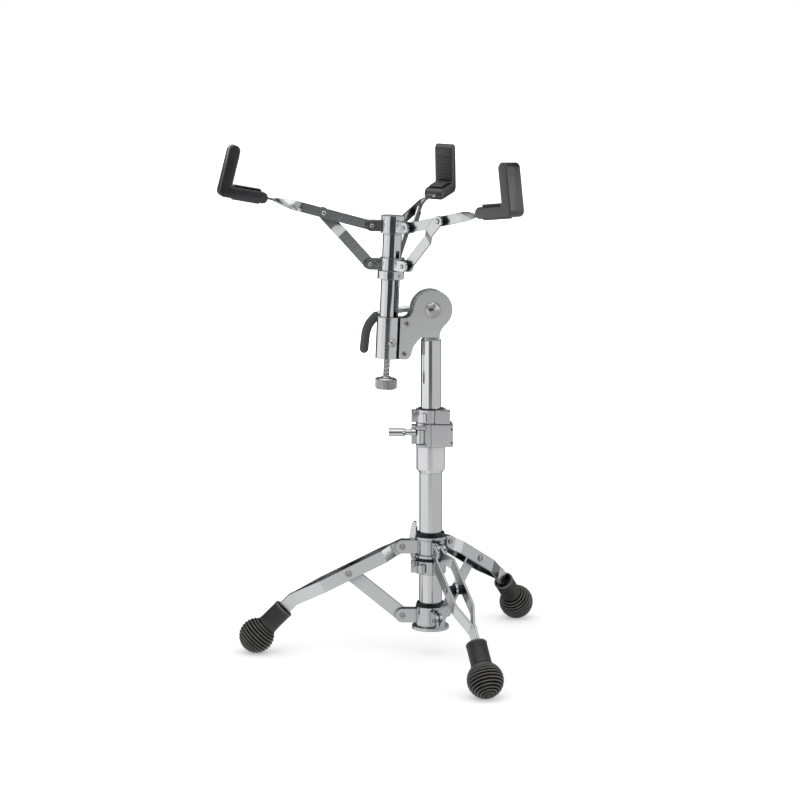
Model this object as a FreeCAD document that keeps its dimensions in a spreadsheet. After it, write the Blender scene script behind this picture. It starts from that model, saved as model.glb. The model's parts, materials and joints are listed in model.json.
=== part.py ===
import FreeCAD, Part
import os
import re
import Sketcher

# Snare drum stand: folding tripod, telescopic column, toothed tilter and three-arm basket.
# Frame: origin on the floor under the column, +Z up, X in the tilting plane, basket offset towards -X.
# Lengths are in millimetres and angles in degrees.

V = FreeCAD.Vector
AXIS_X = V(1, 0, 0)
AXIS_Y = V(0, 1, 0)
AXIS_Z = V(0, 0, 1)

# Fits
slide_clearance = 0.05
seat_clearance = 0.05
pin_clearance = 0.05
face_gap = 0.3
link_play = 1.1

# Column
base_tube_diameter = 28.6
base_tube_wall = 1.2
upper_tube_diameter = 25.4
upper_tube_wall = 1.5
base_tube_bottom = 35
clamp_top = 293.5
upper_tube_bottom = 160
pivot_height = 434
tube_top_drop = 38

# Tripod
leg_a_angle = 167.6
leg_b_angle = 46.5
leg_c_angle = 275.1
leg_slope_angle = 26.84
leg_mid_length = 74.64
leg_bend_length = 153.4
foot_bend_angle = 18.56
foot_reach = 64.85
foot_tuck = 40
foot_ball_diameter = 44.2
foot_flat = 0.35
foot_sleeve_diameter = 25.5
foot_sleeve_start = 15
foot_groove_pitch = 3.6
foot_groove_radius = 0.8
leg_width = 16
leg_thickness = 2.8
leg_spread = 9.5
strut_width = 17.5
strut_thickness = 3
pivot_pin_diameter = 5
rivet_head_radius = 3.2
rivet_head_height = 1.6
leg_bolt_head_radius = 3.8
leg_bolt_head_height = 1.8
leg_bush_radius = 5.7

# Hubs
hub_pivot_radius = 35.1
hub_ear_thickness = 4
hub_ear_height = 17
hub_height = 26.5
hub_barrel_diameter = 35
hub_flange_diameter = 39
hub_flange_height = 3.5
bush_diameter = 36.6
top_bush_height = 4.8
low_bush_height = 3.7
base_pivot_height = 49.2
base_ear_thickness = 4
base_hub_bottom = 32.5
base_hub_top = 61.5
base_hub_diameter = 37
base_flange_diameter = 46
base_flange_height = 4
base_bush_height = 4.4
wing_angle = 126
wing_span = 28
ear_root = 12
wing_boss_radius = 7
wing_shank_radius = 4
wing_collar_radius = 6
wing_thickness = 3.2

# Memory locks and height clamp
clamp_turn_angle = -11.5
tripod_lock_height = 16
lock_ring_diameter = 38
lock_top_height = 16.5
clamp_height = 28.5
clamp_sleeve_bottom = 231
clamp_sleeve_radius = 18
clamp_ring_radius = 18.5
handle_depth = 20.4
handle_nut_radius = 4.6
handle_neck_radius = 3.9
handle_barrel_radius = 5.2
handle_barrel_length = 20
handle_end_radius = 3.6
handle_end_depth = 4
handle_cross_radius = 1.4
handle_neck_end = 32
trunnion_x = 13.2
trunnion_radius = 5
jaw_face = 22.5
jaw_right = 27.2
lock_screw_diameter = 4
lock_head_radius = 3.2
lock_head_height = 2.2
lock_lug_width = 10
lock_lug_centre = -4
jaw_pin_radius = 2
swing_bolt_radius = 2.5

# Tilter
tilt_rest_angle = 2.57
axis_offset = 52.3
sleeve_diameter = 29
sleeve_top = -10.5
sleeve_bottom = -61.7
sleeve_floor = 4.3
disc_diameter = 48.8
core_diameter = 45.6
core_thickness = 16.4
plate_thickness = 3
pivot_bolt_diameter = 10
tooth_depth = 1.6
tooth_count = 48
lever_y = 20
lever_dip_angle = 7
lever_length = 50
grip_bend_radius = 28
grip_sweep_angle = 79
plate_screw_diameter = 4
plate_head_radius = 3.2
plate_head_height = 1.2
cross_width = 0.9
cross_span = 3.8
pivot_head_radius = 9.7
pivot_dome_radius = 14
sleeve_bolt_radius = 3
sleeve_bolt_head = 5
lever_radius = 3.9
lever_nut_radius = 10
lever_bend_angle = 25
grip_seat_angle = 28
grip_radius = 5.5
grip_fall = 22

# Basket
basket_tube_diameter = 23
basket_tube_wall = 1.5
tube_over_pivot = 11.3
slot_width = 5
slot_angle = 300
slot_above = 17.1
slot_below = 83.9
arm_slope_angle = 12.98
arm_mid_length = 60.55
arm_twist_start = 88
arm_twist_end = 126
arm_length = 160
arm_width = 12
arm_thickness = 2.2
arm_pivot_radius = 27.3
arm_pivot_height = 100.7
arm_spacer = 4.2
arm_pin_diameter = 4
arm_strut_width = 13.5
arm_strut_thickness = 2.2
yoke_pivot_height = 53.9
yoke_ear_thickness = 3
yoke_ear_height = 13.4
yoke_diameter = 29
yoke_collar_diameter = 32.4
pad_thickness = 14
pad_width = 24
pad_reach = 24.84
pad_sink = 4.84
pad_tilt_angle = 4.98
pad_limb_length = 46
pad_close_angle = 4
pad_upright_length = 49.5
rod_diameter = 8
knob_diameter = 27.2
knob_height = 14
knob_top = -86
arm_rivet_radius = 2.7
arm_rivet_height = 1.3
cross_pin_radius = 2
pad_rib_pitch = 3.4
knurl_radius = 0.8

doc = FreeCAD.newDocument("snare_stand")
sheet = doc.addObject("Spreadsheet::Sheet", "Sizes")
rows = {"next": 1}


def size(alias, value):
    """Write one named size, or one value worked out from named sizes, into the sheet."""
    row = rows["next"]
    sheet.set("A%d" % row, alias)
    sheet.set("B%d" % row, str(value))
    sheet.setAlias("B%d" % row, alias)
    rows["next"] = row + 1


named_sizes = {name: value for name, value in globals().items() if isinstance(value, (int, float))}
for alias, value in named_sizes.items():
    size(alias, value)

# Values worked out from the sizes above
size("ball_radius", "=foot_ball_diameter / 2")
size("foot_slope", "=leg_slope_angle + foot_bend_angle")
size("leg_drop", "=leg_bend_length * sin(leg_slope_angle * 1 deg)")
size("foot_drop", "=foot_reach * sin(foot_slope * 1 deg)")
size("hub_pivot_height", "=leg_drop + foot_drop + ball_radius - foot_flat")
size("mid_radius", "=hub_pivot_radius + leg_mid_length * cos(leg_slope_angle * 1 deg)")
size("mid_height", "=hub_pivot_height - leg_mid_length * sin(leg_slope_angle * 1 deg)")
size("strut_run", "=mid_radius - hub_pivot_radius")
size("strut_rise", "=mid_height - base_pivot_height")
size("strut_length", "=sqrt(strut_run * strut_run + strut_rise * strut_rise)")
size("strut_slope", "=atan(strut_rise / strut_run) / 1 deg")
size("hub_bottom", "=hub_pivot_height - hub_height / 2")
size("hub_top", "=hub_pivot_height + hub_height / 2")
size("lock_low_top", "=hub_bottom - low_bush_height - face_gap")
size("base_tube_radius", "=base_tube_diameter / 2")
size("upper_tube_radius", "=upper_tube_diameter / 2")
size("tube_top", "=pivot_height - tube_top_drop")
size("arm_mid_radius", "=arm_pivot_radius + arm_mid_length * cos(arm_slope_angle * 1 deg)")
size("arm_mid_height", "=arm_pivot_height + arm_mid_length * sin(arm_slope_angle * 1 deg)")
size("arm_rise", "=sin(arm_slope_angle * 1 deg)")
size("arm_level", "=cos(arm_slope_angle * 1 deg)")
size("pad_corner_length", "=arm_length + pad_reach")
size("pad_corner_radius", "=arm_pivot_radius + pad_corner_length * arm_level + pad_sink * arm_rise")
size("pad_corner_height", "=arm_pivot_height + pad_corner_length * arm_rise - pad_sink * arm_level")
size("pad_limb_angle", "=arm_slope_angle - pad_tilt_angle")
size("pad_lean_angle", "=pad_limb_angle + pad_close_angle")
size("basket_tube_top", "=arm_pivot_height + tube_over_pivot")
size("slot_top", "=yoke_pivot_height + slot_above")
size("slot_bottom", "=yoke_pivot_height - slot_below")
size("arm_strut_run", "=arm_mid_radius - arm_pivot_radius")
size("arm_strut_rise", "=arm_mid_height - yoke_pivot_height")
size("arm_strut_length", "=sqrt(arm_strut_run * arm_strut_run + arm_strut_rise * arm_strut_rise)")
size("arm_strut_slope", "=atan(arm_strut_rise / arm_strut_run) / 1 deg")
size("clevis_half", "=(arm_thickness + arm_spacer + 3 * face_gap) / 2")
size("blade_y", "=clevis_half - face_gap - arm_thickness / 2")
size("side_strut_y", "=blade_y - arm_thickness / 2 - arm_spacer - 2 * face_gap - arm_strut_thickness / 2")
size("strip_pitch", "=leg_thickness + face_gap")
size("ear_pitch", "=hub_ear_thickness + face_gap")
size("stack_half", "=strip_pitch + ear_pitch - face_gap / 2")
size("strip_left_y", "=stack_half - ear_pitch - leg_thickness / 2")
size("strip_right_y", "=leg_thickness / 2 - stack_half")
size("ear_left_y", "=stack_half - hub_ear_thickness / 2")
size("ear_right_y", "=strip_left_y - strip_pitch / 2 - face_gap / 2 - hub_ear_thickness / 2")
size("strip_mid_y", "=leg_spread + leg_thickness / 2")
size("foot_strip_y", "=strip_pitch / 2")
size("plate_inner_y", "=core_thickness / 2 + face_gap")
doc.recompute()

FUNCTIONS = {"sqrt", "sin", "cos", "tan", "atan", "abs", "deg"}


def named(text):
    """Turn bare size names in an expression into references to the sheet."""
    return re.sub(r"[a-z][a-z_0-9]*", lambda m: m.group(0) if m.group(0) in FUNCTIONS
                  else "Sizes." + m.group(0), text)


def bind(item, prop, text):
    item.setExpression(prop, named(text))


def put(item, at):
    for letter, text in zip("xyz", at):
        if text != "0":
            bind(item, "Placement.Base." + letter, text)


def turn(item, axis, angle):
    item.Placement = FreeCAD.Placement(V(), FreeCAD.Rotation(axis, 1.0))
    bind(item, "Placement.Rotation.Angle", "(" + angle + ") * 1 deg")


FACING = {
    "z": FreeCAD.Rotation(),
    "y": FreeCAD.Rotation(AXIS_X, -90),
    "-y": FreeCAD.Rotation(AXIS_X, 90),
    "x": FreeCAD.Rotation(AXIS_Y, 90),
}


def cylinder(name, radius, height, at=("0", "0", "0"), facing="z"):
    item = doc.addObject("Part::Cylinder", name)
    bind(item, "Radius", radius)
    bind(item, "Height", height)
    item.Placement = FreeCAD.Placement(V(), FACING[facing])
    put(item, at)
    return item


def cone(name, low, high, height, at, facing="z"):
    item = doc.addObject("Part::Cone", name)
    bind(item, "Radius1", low)
    bind(item, "Radius2", high)
    bind(item, "Height", height)
    item.Placement = FreeCAD.Placement(V(), FACING[facing])
    put(item, at)
    return item


def bent(name, bend, radius, sweep):
    """Round bar bent in the XZ plane, from the top of the bend towards -X."""
    item = doc.addObject("Part::Torus", name)
    bind(item, "Radius1", bend)
    bind(item, "Radius2", radius)
    bind(item, "Angle3", "(" + sweep + ") * 1 deg")
    item.Placement = FreeCAD.Placement(V(), FreeCAD.Rotation(AXIS_X, 90) * FreeCAD.Rotation(AXIS_Z, 90))
    return item


def box(name, length, width, height, at):
    """Box whose length runs from at.x, centred on at.y, standing on at.z."""
    item = doc.addObject("Part::Box", name)
    bind(item, "Length", length)
    bind(item, "Width", width)
    bind(item, "Height", height)
    put(item, (at[0], at[1] + " - (" + width + ") / 2", at[2]))
    return item


def fuse(name, items):
    item = doc.addObject("Part::MultiFuse", name)
    item.Shapes = items
    item.Refine = True
    return item


def cut(name, base, tool):
    item = doc.addObject("Part::Cut", name)
    item.Base = base
    item.Tool = tool
    return item


def common(name, items):
    item = doc.addObject("Part::MultiCommon", name)
    item.Shapes = items
    return item


def group(name, items, axis=AXIS_Z, angle=None, at=("0", "0", "0")):
    """Several solids kept together, turned about one axis and then moved."""
    item = doc.addObject("Part::Compound", name)
    item.Links = items
    if angle is not None:
        turn(item, axis, angle)
    put(item, at)
    return item


def outline(name, points, depth, facing):
    """Closed straight-sided outline, pushed out to both sides of its plane."""
    sketch = doc.addObject("Sketcher::SketchObject", name + "_outline")
    count = len(points)
    around = 360.0 / count
    start = [FreeCAD.Rotation(AXIS_Z, around * i).multVec(V(50, 0, 0)) for i in range(count)]
    for i in range(count):
        sketch.addGeometry(Part.LineSegment(start[i], start[(i + 1) % count]), False)
    for i in range(count):
        sketch.addConstraint(Sketcher.Constraint("Coincident", i, 2, (i + 1) % count, 1))
    for i, (x, y) in enumerate(points):
        for kind, text, guess in (("DistanceX", x, start[i].x), ("DistanceY", y, start[i].y)):
            index = sketch.addConstraint(Sketcher.Constraint(kind, -1, 1, i, 1, guess))
            bind(sketch, "Constraints[%d]" % index, text)
    if facing == "y":
        sketch.Placement = FreeCAD.Placement(V(), FreeCAD.Rotation(AXIS_X, 90))
    item = doc.addObject("Part::Extrusion", name)
    item.Base = sketch
    item.DirMode = "Normal"
    item.Solid = True
    item.Symmetric = True
    bind(item, "LengthFwd", depth)
    return item


nodes = {}


def node(label, item):
    item.Label = label
    nodes[label] = item
    return item


# Column tubes
base_outer = cylinder("base_outer", "base_tube_radius", "clamp_top - 5 - base_tube_bottom",
                      ("0", "0", "base_tube_bottom"))
base_inner = cylinder("base_inner", "base_tube_radius - base_tube_wall", "clamp_top",
                      ("0", "0", "base_tube_bottom - 5"))
node("base_tube", cut("base_tube_cut", base_outer, base_inner))
upper_outer = cylinder("upper_outer", "upper_tube_radius", "tube_top - upper_tube_bottom",
                       ("0", "0", "upper_tube_bottom"))
upper_inner = cylinder("upper_inner", "upper_tube_radius - upper_tube_wall", "tube_top",
                       ("0", "0", "upper_tube_bottom - 5"))
node("upper_tube", cut("upper_tube_cut", upper_outer, upper_inner))


def ear(name, reach, height, thickness, side, level):
    """Plate standing upright, from the barrel out to a round end about the pivot."""
    plate = box(name + "_plate", reach + " - ear_root", thickness, height,
                ("ear_root", side, level + " - (" + height + ") / 2"))
    end = cylinder(name + "_end", "(" + height + ") / 2", thickness,
                   (reach, side + " - (" + thickness + ") / 2", level), "y")
    return fuse(name, [plate, end])


def head(name, radius, height, x, y, z, facing):
    """Low round head with a bevelled crown, standing on a face across Y."""
    step = "+" if facing == "y" else "-"
    rim = cylinder(name + "_rim", radius, height + " * 0.45", (x, y, z), facing)
    crown = cone(name + "_crown", radius, radius + " * 0.6", height + " * 0.55",
                 (x, y + " " + step + " " + height + " * 0.45", z), facing)
    return [rim, crown]


def pin(name, diameter, left, right, head_radius, head_height, at_x, at_z):
    """Cross pin with a low round head at both ends."""
    shank = cylinder(name + "_shank", diameter + " / 2", left + " - (" + right + ")", (at_x, right, at_z), "y")
    near = head(name + "_near", head_radius, head_height, at_x, left, at_z, "y")
    far = head(name + "_far", head_radius, head_height, at_x, right, at_z, "-y")
    return fuse(name, [shank] + near + far)


LEGS = ("a", "b", "c")


def around_legs(name, items):
    return [group(name + "_" + leg, items, AXIS_Z, "leg_%s_angle" % leg) for leg in LEGS]


# Lower hub with three clevises for the struts
base_gap = "(strut_thickness / 2 + face_gap + base_ear_thickness / 2)"
base_ears = [ear("base_ear_left", "hub_pivot_radius", "strut_width", "base_ear_thickness", base_gap,
                 "base_pivot_height"),
             ear("base_ear_right", "hub_pivot_radius", "strut_width", "base_ear_thickness", "-" + base_gap,
                 "base_pivot_height")]
base_hole = cylinder("base_hole", "pivot_pin_diameter / 2 + pin_clearance", "40",
                     ("hub_pivot_radius", "-20", "base_pivot_height"), "y")
base_barrel = cylinder("base_barrel", "base_hub_diameter / 2", "base_hub_top - base_hub_bottom",
                       ("0", "0", "base_hub_bottom"))
base_flange = cylinder("base_flange", "base_flange_diameter / 2", "base_flange_height",
                       ("0", "0", "base_hub_bottom"))
base_bore = cylinder("base_bore", "base_tube_radius + seat_clearance", "60", ("0", "0", "base_tube_bottom"))
base_solid = fuse("base_solid", [base_barrel, base_flange] + around_legs("base_ears", base_ears))
base_bored = cut("base_bored", base_solid, base_bore)
base_holes = fuse("base_holes", around_legs("base_hole", [base_hole]))
node("lower_hub", cut("lower_hub_cut", base_bored, base_holes))
bush_ring = cone("bush_ring", "bush_diameter / 2", "bush_diameter / 2 - 1.2", "base_bush_height",
                 ("0", "0", "base_hub_top"))
bush_dish = cone("bush_dish", "base_tube_radius + seat_clearance", "bush_diameter / 2 - 1.9",
                 "base_bush_height", ("0", "0", "base_hub_top + 2.2"))
bush_bore = cylinder("bush_bore", "base_tube_radius + seat_clearance", "20", ("0", "0", "base_hub_top - 5"))
node("lower_hub_bush", cut("lower_bush_cut", bush_ring, fuse("bush_tool", [bush_dish, bush_bore])))
base_pin_side = "strut_thickness / 2 + face_gap + base_ear_thickness"
base_pin = pin("base_pin", "pivot_pin_diameter", base_pin_side, "-(" + base_pin_side + ")", "rivet_head_radius",
               "rivet_head_height", "hub_pivot_radius", "base_pivot_height")
node("strut_base_pins", group("base_pin_set", around_legs("base_pin_turned", [base_pin])))

# Struts between the lower hub and the legs
strut_bar = box("strut_bar", "strut_length", "strut_thickness", "strut_width", ("0", "0", "-strut_width / 2"))
strut_low = cylinder("strut_low", "strut_width / 2", "strut_thickness", ("0", "-strut_thickness / 2", "0"), "y")
strut_high = cylinder("strut_high", "strut_width / 2", "strut_thickness",
                      ("strut_length", "-strut_thickness / 2", "0"), "y")
strut_low_hole = cylinder("strut_low_hole", "pivot_pin_diameter / 2 + pin_clearance", "20",
                          ("0", "-10", "0"), "y")
strut_high_hole = cylinder("strut_high_hole", "pivot_pin_diameter / 2 + link_play", "20",
                           ("strut_length", "-10", "0"), "y")
strut_form = cut("strut_form", fuse("strut_flat", [strut_bar, strut_low, strut_high]),
                 fuse("strut_holes", [strut_low_hole, strut_high_hole]))
strut_leaned = group("strut_leaned", [strut_form], AXIS_Y, "-strut_slope",
                     ("hub_pivot_radius", "0", "base_pivot_height"))
for leg in LEGS:
    node("leg_%s_strut" % leg, group("strut_" + leg, [strut_leaned], AXIS_Z, "leg_%s_angle" % leg))

# Sliding hub with three unequal clevises for the leg strips
hub_ears = [ear("hub_ear_left", "hub_pivot_radius", "hub_ear_height", "hub_ear_thickness", "ear_left_y",
                "hub_pivot_height"),
            ear("hub_ear_right", "hub_pivot_radius", "hub_ear_height", "hub_ear_thickness", "ear_right_y",
                "hub_pivot_height")]
hub_hole = cylinder("hub_hole", "pivot_pin_diameter / 2 + pin_clearance", "60",
                    ("hub_pivot_radius", "-30", "hub_pivot_height"), "y")
hub_barrel = cylinder("hub_barrel", "hub_barrel_diameter / 2", "hub_height", ("0", "0", "hub_bottom"))
hub_low_flange = cylinder("hub_low_flange", "hub_flange_diameter / 2", "hub_flange_height",
                          ("0", "0", "hub_bottom"))
hub_top_flange = cylinder("hub_top_flange", "hub_flange_diameter / 2", "hub_flange_height",
                          ("0", "0", "hub_top - hub_flange_height"))
wing_boss = cylinder("wing_boss", "wing_boss_radius", "9",
                     ("hub_barrel_diameter / 2 - 4", "0", "hub_pivot_height"), "x")
wing_hole = cylinder("wing_hole", "wing_shank_radius + pin_clearance", "30",
                     ("base_tube_radius - 4", "0", "hub_pivot_height"), "x")
wing_boss_turned = group("wing_boss_turned", [wing_boss], AXIS_Z, "wing_angle")
wing_hole_turned = group("wing_hole_turned", [wing_hole], AXIS_Z, "wing_angle")
hub_solid = fuse("hub_solid", [hub_barrel, hub_low_flange, hub_top_flange, wing_boss_turned]
                 + around_legs("hub_ears", hub_ears))
hub_bore = cylinder("hub_bore", "base_tube_radius + face_gap", "60", ("0", "0", "hub_bottom - 10"))
hub_holes = fuse("hub_holes", around_legs("hub_hole", [hub_hole]) + [wing_hole_turned, hub_bore])
node("upper_hub", cut("upper_hub_cut", hub_solid, hub_holes))
top_bush = cone("top_bush", "bush_diameter / 2", "bush_diameter / 2 - 1.2", "top_bush_height",
                ("0", "0", "hub_top"))
top_dish = cone("top_dish", "base_tube_radius + slide_clearance", "bush_diameter / 2 - 1.9", "top_bush_height",
                ("0", "0", "hub_top + 2.2"))
low_bush = cylinder("low_bush", "bush_diameter / 2 - face_gap", "low_bush_height",
                    ("0", "0", "hub_bottom - low_bush_height"))
slide_bore = cylinder("slide_bore", "base_tube_radius + slide_clearance", "90", ("0", "0", "hub_bottom - 20"))
hub_bush_set = group("hub_bush_set", [top_bush, low_bush])
node("hub_bushes", cut("hub_bush_cut", hub_bush_set, fuse("hub_bush_tool", [top_dish, slide_bore])))
hub_pin = pin("hub_pin", "pivot_pin_diameter", "stack_half", "-stack_half", "rivet_head_radius",
              "rivet_head_height", "hub_pivot_radius", "hub_pivot_height")
node("leg_pins", group("hub_pin_set", around_legs("hub_pin_turned", [hub_pin])))

# Wing screw that clamps the hub on the column
wing_shank = cylinder("wing_shank", "wing_shank_radius", "hub_barrel_diameter / 2 - base_tube_radius + 8",
                      ("base_tube_radius + face_gap", "0", "hub_pivot_height"), "x")
wing_collar = cylinder("wing_collar", "wing_collar_radius", "9",
                       ("hub_barrel_diameter / 2 + 5.3", "0", "hub_pivot_height"), "x")
size("wing_root", "=hub_barrel_diameter / 2 + 6")
wing_points = [
    ("wing_root", "4"), ("wing_root - 0.5", "wing_span - 7"), ("wing_root + 0.8", "wing_span - 1"),
    ("wing_root + 4", "wing_span"), ("wing_root + 6.5", "wing_span - 3"), ("wing_root + 11", "8"),
    ("wing_root + 11", "-8"), ("wing_root + 6.5", "3 - wing_span"), ("wing_root + 4", "-wing_span"),
    ("wing_root + 0.8", "1 - wing_span"), ("wing_root - 0.5", "7 - wing_span"), ("wing_root", "-4"),
]
wing_plate = outline("wing_plate", wing_points, "wing_thickness", "y")
wing_raised = group("wing_raised", [wing_plate], AXIS_Z, None, ("0", "0", "hub_pivot_height"))
wing_form = fuse("wing_form", [wing_shank, wing_collar, wing_raised])
node("wing_screw", group("wing_turned", [wing_form], AXIS_Z, "wing_angle"))


# Leg strips: a plan outline met by a side outline, so each strip jogs sideways and bends down
def strip(name, hub_y, mid_y, foot_y):
    path = [("-12", hub_y), ("12", hub_y), ("25", mid_y), ("leg_bend_length - 42", mid_y),
            ("leg_bend_length - 6", foot_y), ("leg_bend_length + 45", foot_y)]
    half = " + leg_thickness / 2"
    back = " - leg_thickness / 2"
    points = [(x, y + back) for x, y in path] + [(x, y + half) for x, y in reversed(path)]
    return outline(name + "_plan", points, "200", "z")


size("foot_cos", "=cos(foot_bend_angle * 1 deg)")
size("foot_sin", "=sin(foot_bend_angle * 1 deg)")
size("bend_shift", "=leg_width / 2 * tan(foot_bend_angle / 2 * 1 deg)")
side_points = [
    ("0.01", "leg_width / 2"), ("leg_bend_length + bend_shift", "leg_width / 2"),
    ("leg_bend_length + foot_tuck * foot_cos + leg_width / 2 * foot_sin",
     "leg_width / 2 * foot_cos - foot_tuck * foot_sin"),
    ("leg_bend_length + foot_tuck * foot_cos - leg_width / 2 * foot_sin",
     "-leg_width / 2 * foot_cos - foot_tuck * foot_sin"),
    ("leg_bend_length - bend_shift", "-leg_width / 2"), ("0.01", "-leg_width / 2"),
]
side_bar = outline("side_bar", side_points, "60", "y")
side_end = cylinder("side_end", "leg_width / 2", "60", ("0", "-30", "0"), "y")
side_form = fuse("side_form", [side_bar, side_end])
strip_hub_hole = cylinder("strip_hub_hole", "pivot_pin_diameter / 2 + pin_clearance", "80",
                          ("0", "-40", "0"), "y")
strip_mid_hole = cylinder("strip_mid_hole", "pivot_pin_diameter / 2 + pin_clearance", "80",
                          ("leg_mid_length", "-40", "0"), "y")
strip_holes = fuse("strip_holes", [strip_hub_hole, strip_mid_hole])
strip_left = cut("strip_left", common("strip_left_form",
                                      [strip("left", "strip_left_y", "strip_mid_y", "foot_strip_y"), side_form]),
                 strip_holes)
strip_right = cut("strip_right", common("strip_right_form",
                                        [strip("right", "strip_right_y", "-strip_mid_y", "-foot_strip_y"),
                                         side_form]), strip_holes)
bolt_side = "leg_spread + leg_thickness"
leg_bolt = pin("leg_bolt", "pivot_pin_diameter", bolt_side, "-(" + bolt_side + ")", "leg_bolt_head_radius",
               "leg_bolt_head_height", "leg_mid_length", "0")
bush_length = "leg_spread - strut_thickness / 2 - face_gap"
leg_bush_left = cylinder("leg_bush_left", "leg_bush_radius", bush_length,
                         ("leg_mid_length", "strut_thickness / 2 + face_gap", "0"), "y")
leg_bush_right = cylinder("leg_bush_right", "leg_bush_radius", bush_length,
                          ("leg_mid_length", "-leg_spread", "0"), "y")
leg_bush_pair = cut("leg_bush_pair", group("leg_bush_set", [leg_bush_left, leg_bush_right]), strip_mid_hole)

# Rubber foot: ball with ring grooves about the leg's end, sleeve and pocket for the strips
foot_ball = doc.addObject("Part::Sphere", "foot_ball")
bind(foot_ball, "Radius", "ball_radius")
put(foot_ball, ("foot_reach", "0", "0"))
foot_sleeve = cylinder("foot_sleeve", "foot_sleeve_diameter / 2", "foot_reach - foot_sleeve_start",
                       ("foot_sleeve_start", "0", "0"), "x")
grooves = []
for i in range(9):
    ring = doc.addObject("Part::Torus", "foot_groove")
    offset = "foot_groove_pitch * %d" % (i - 3)
    bind(ring, "Radius1", "sqrt(ball_radius * ball_radius - (%s) * (%s))" % (offset, offset))
    bind(ring, "Radius2", "foot_groove_radius")
    ring.Placement = FreeCAD.Placement(V(), FACING["x"])
    put(ring, ("foot_reach + " + offset, "0", "0"))
    grooves.append(ring)
foot_pocket = box("foot_pocket", "foot_tuck + 0.5", "2 * strip_pitch + face_gap", "leg_width + face_gap",
                  ("0", "0", "-(leg_width + face_gap) / 2"))
foot_form = cut("foot_form", fuse("foot_solid", [foot_ball, foot_sleeve]),
                fuse("foot_tools", grooves + [foot_pocket]))
foot_bent = group("foot_bent", [foot_form], AXIS_Y, "foot_bend_angle", ("leg_bend_length", "0", "0"))


def sloped(name, items):
    return group(name, items, AXIS_Y, "leg_slope_angle", ("hub_pivot_radius", "0", "hub_pivot_height"))


floor_block = box("floor_block", "400", "400", "50", ("0", "0", "-50"))
foot_standing = cut("foot_standing", sloped("foot_sloped", [foot_bent]), floor_block)
frame_sloped = sloped("frame_sloped", [strip_left, strip_right, leg_bolt])
bush_sloped = sloped("bush_sloped", [leg_bush_pair])
for leg in LEGS:
    azimuth = "leg_%s_angle" % leg
    node("leg_%s_frame" % leg, group("frame_" + leg, [frame_sloped], AXIS_Z, azimuth))
    node("leg_%s_bushes" % leg, group("bushes_" + leg, [bush_sloped], AXIS_Z, azimuth))
    node("leg_%s_foot" % leg, group("foot_" + leg, [foot_standing], AXIS_Z, azimuth))

# Clamps face the front of the stand, so they are drawn square and then turned about the column
def turned(name, item):
    return group(name, [item], AXIS_Z, "clamp_turn_angle")


def upright(name, radius, low, high, x, y):
    return cylinder(name, radius, "(" + high + ") - (" + low + ")", (x, y, low))


# Memory lock that the hub rests on
size("lock_low_bottom", "=lock_low_top - tripod_lock_height")
size("lock_radius", "=lock_ring_diameter / 2")
low_ring = upright("low_ring", "lock_radius", "lock_low_bottom", "lock_low_top", "0", "0")
low_lug = box("low_lug", "12", "lock_lug_width", "tripod_lock_height - 2",
              ("-lock_radius - 5.5", "lock_lug_centre", "lock_low_bottom + 1"))
low_barrel = upright("low_barrel", "4.8", "lock_low_bottom + 2.5", "lock_low_top - 3", "-11.5", "-lock_radius - 0.5")
low_split = box("low_split", "14", "1.6", "40", ("-lock_radius - 8", "lock_lug_centre", "lock_low_bottom - 5"))
low_bore = upright("low_bore", "base_tube_radius + seat_clearance", "lock_low_bottom - 5", "lock_low_top + 5",
                   "0", "0")
size("lock_lug_left", "=lock_lug_centre + lock_lug_width / 2")
size("lock_lug_right", "=lock_lug_centre - lock_lug_width / 2")


def screw_seats(name, x, z):
    """Hole through the lug and room for the screw's head beside the ring."""
    hole = cylinder(name + "_hole", "lock_screw_diameter / 2 + pin_clearance", "30", (x, "-20", z), "y")
    room = cylinder(name + "_room", "lock_head_radius + face_gap", "lock_head_height + face_gap",
                    (x, "lock_lug_left", z), "y")
    return [hole, room]


low_seats = screw_seats("low_screw", "-lock_radius - 2.2", "lock_low_top - 4.5")
low_solid = fuse("low_solid", [low_ring, low_lug, low_barrel])
low_cut = cut("low_cut", low_solid, fuse("low_tools", [low_split, low_bore] + low_seats))
node("tripod_lock", turned("tripod_lock_turned", low_cut))
low_screw = pin("low_screw", "lock_screw_diameter", "lock_lug_left", "lock_lug_right", "lock_head_radius",
                "lock_head_height", "-lock_radius - 2.2", "lock_low_top - 4.5")
node("tripod_lock_screw", turned("tripod_lock_screw_turned", low_screw))

# Height clamp: sleeve on the base tube, hinged jaw and swing bolt
size("clamp_bottom", "=clamp_top - clamp_height")
size("handle_level", "=clamp_top - 9.5")
sleeve_body = upright("sleeve_body", "clamp_sleeve_radius", "clamp_sleeve_bottom + 4", "clamp_bottom", "0", "0")
sleeve_foot = cone("sleeve_foot", "base_tube_radius + 0.8", "clamp_sleeve_radius", "4",
                   ("0", "0", "clamp_sleeve_bottom"))
clamp_ring = upright("clamp_ring", "clamp_ring_radius", "clamp_bottom", "clamp_top", "0", "0")
clamp_hinge = box("clamp_hinge", "18", "13", "clamp_height", ("8", "1.5", "clamp_bottom"))
clamp_lug = box("clamp_lug", "13", "12", "clamp_height - 5",
                ("-clamp_ring_radius - 5.5", "-2", "clamp_bottom + 2"))
clamp_bore = upright("clamp_bore", "base_tube_radius + seat_clearance", "clamp_sleeve_bottom - 5", "clamp_top - 4.8",
                     "0", "0")
clamp_neck = upright("clamp_neck", "upper_tube_radius + slide_clearance", "clamp_top - 10", "clamp_top + 5", "0", "0")
hinge_pin_hole = upright("hinge_pin_hole", "jaw_pin_radius + pin_clearance", "clamp_bottom - 5", "clamp_top + 5",
                         "23", "-8")
clamp_solid = fuse("clamp_solid", [sleeve_body, sleeve_foot, clamp_ring, clamp_hinge, clamp_lug])
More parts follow.
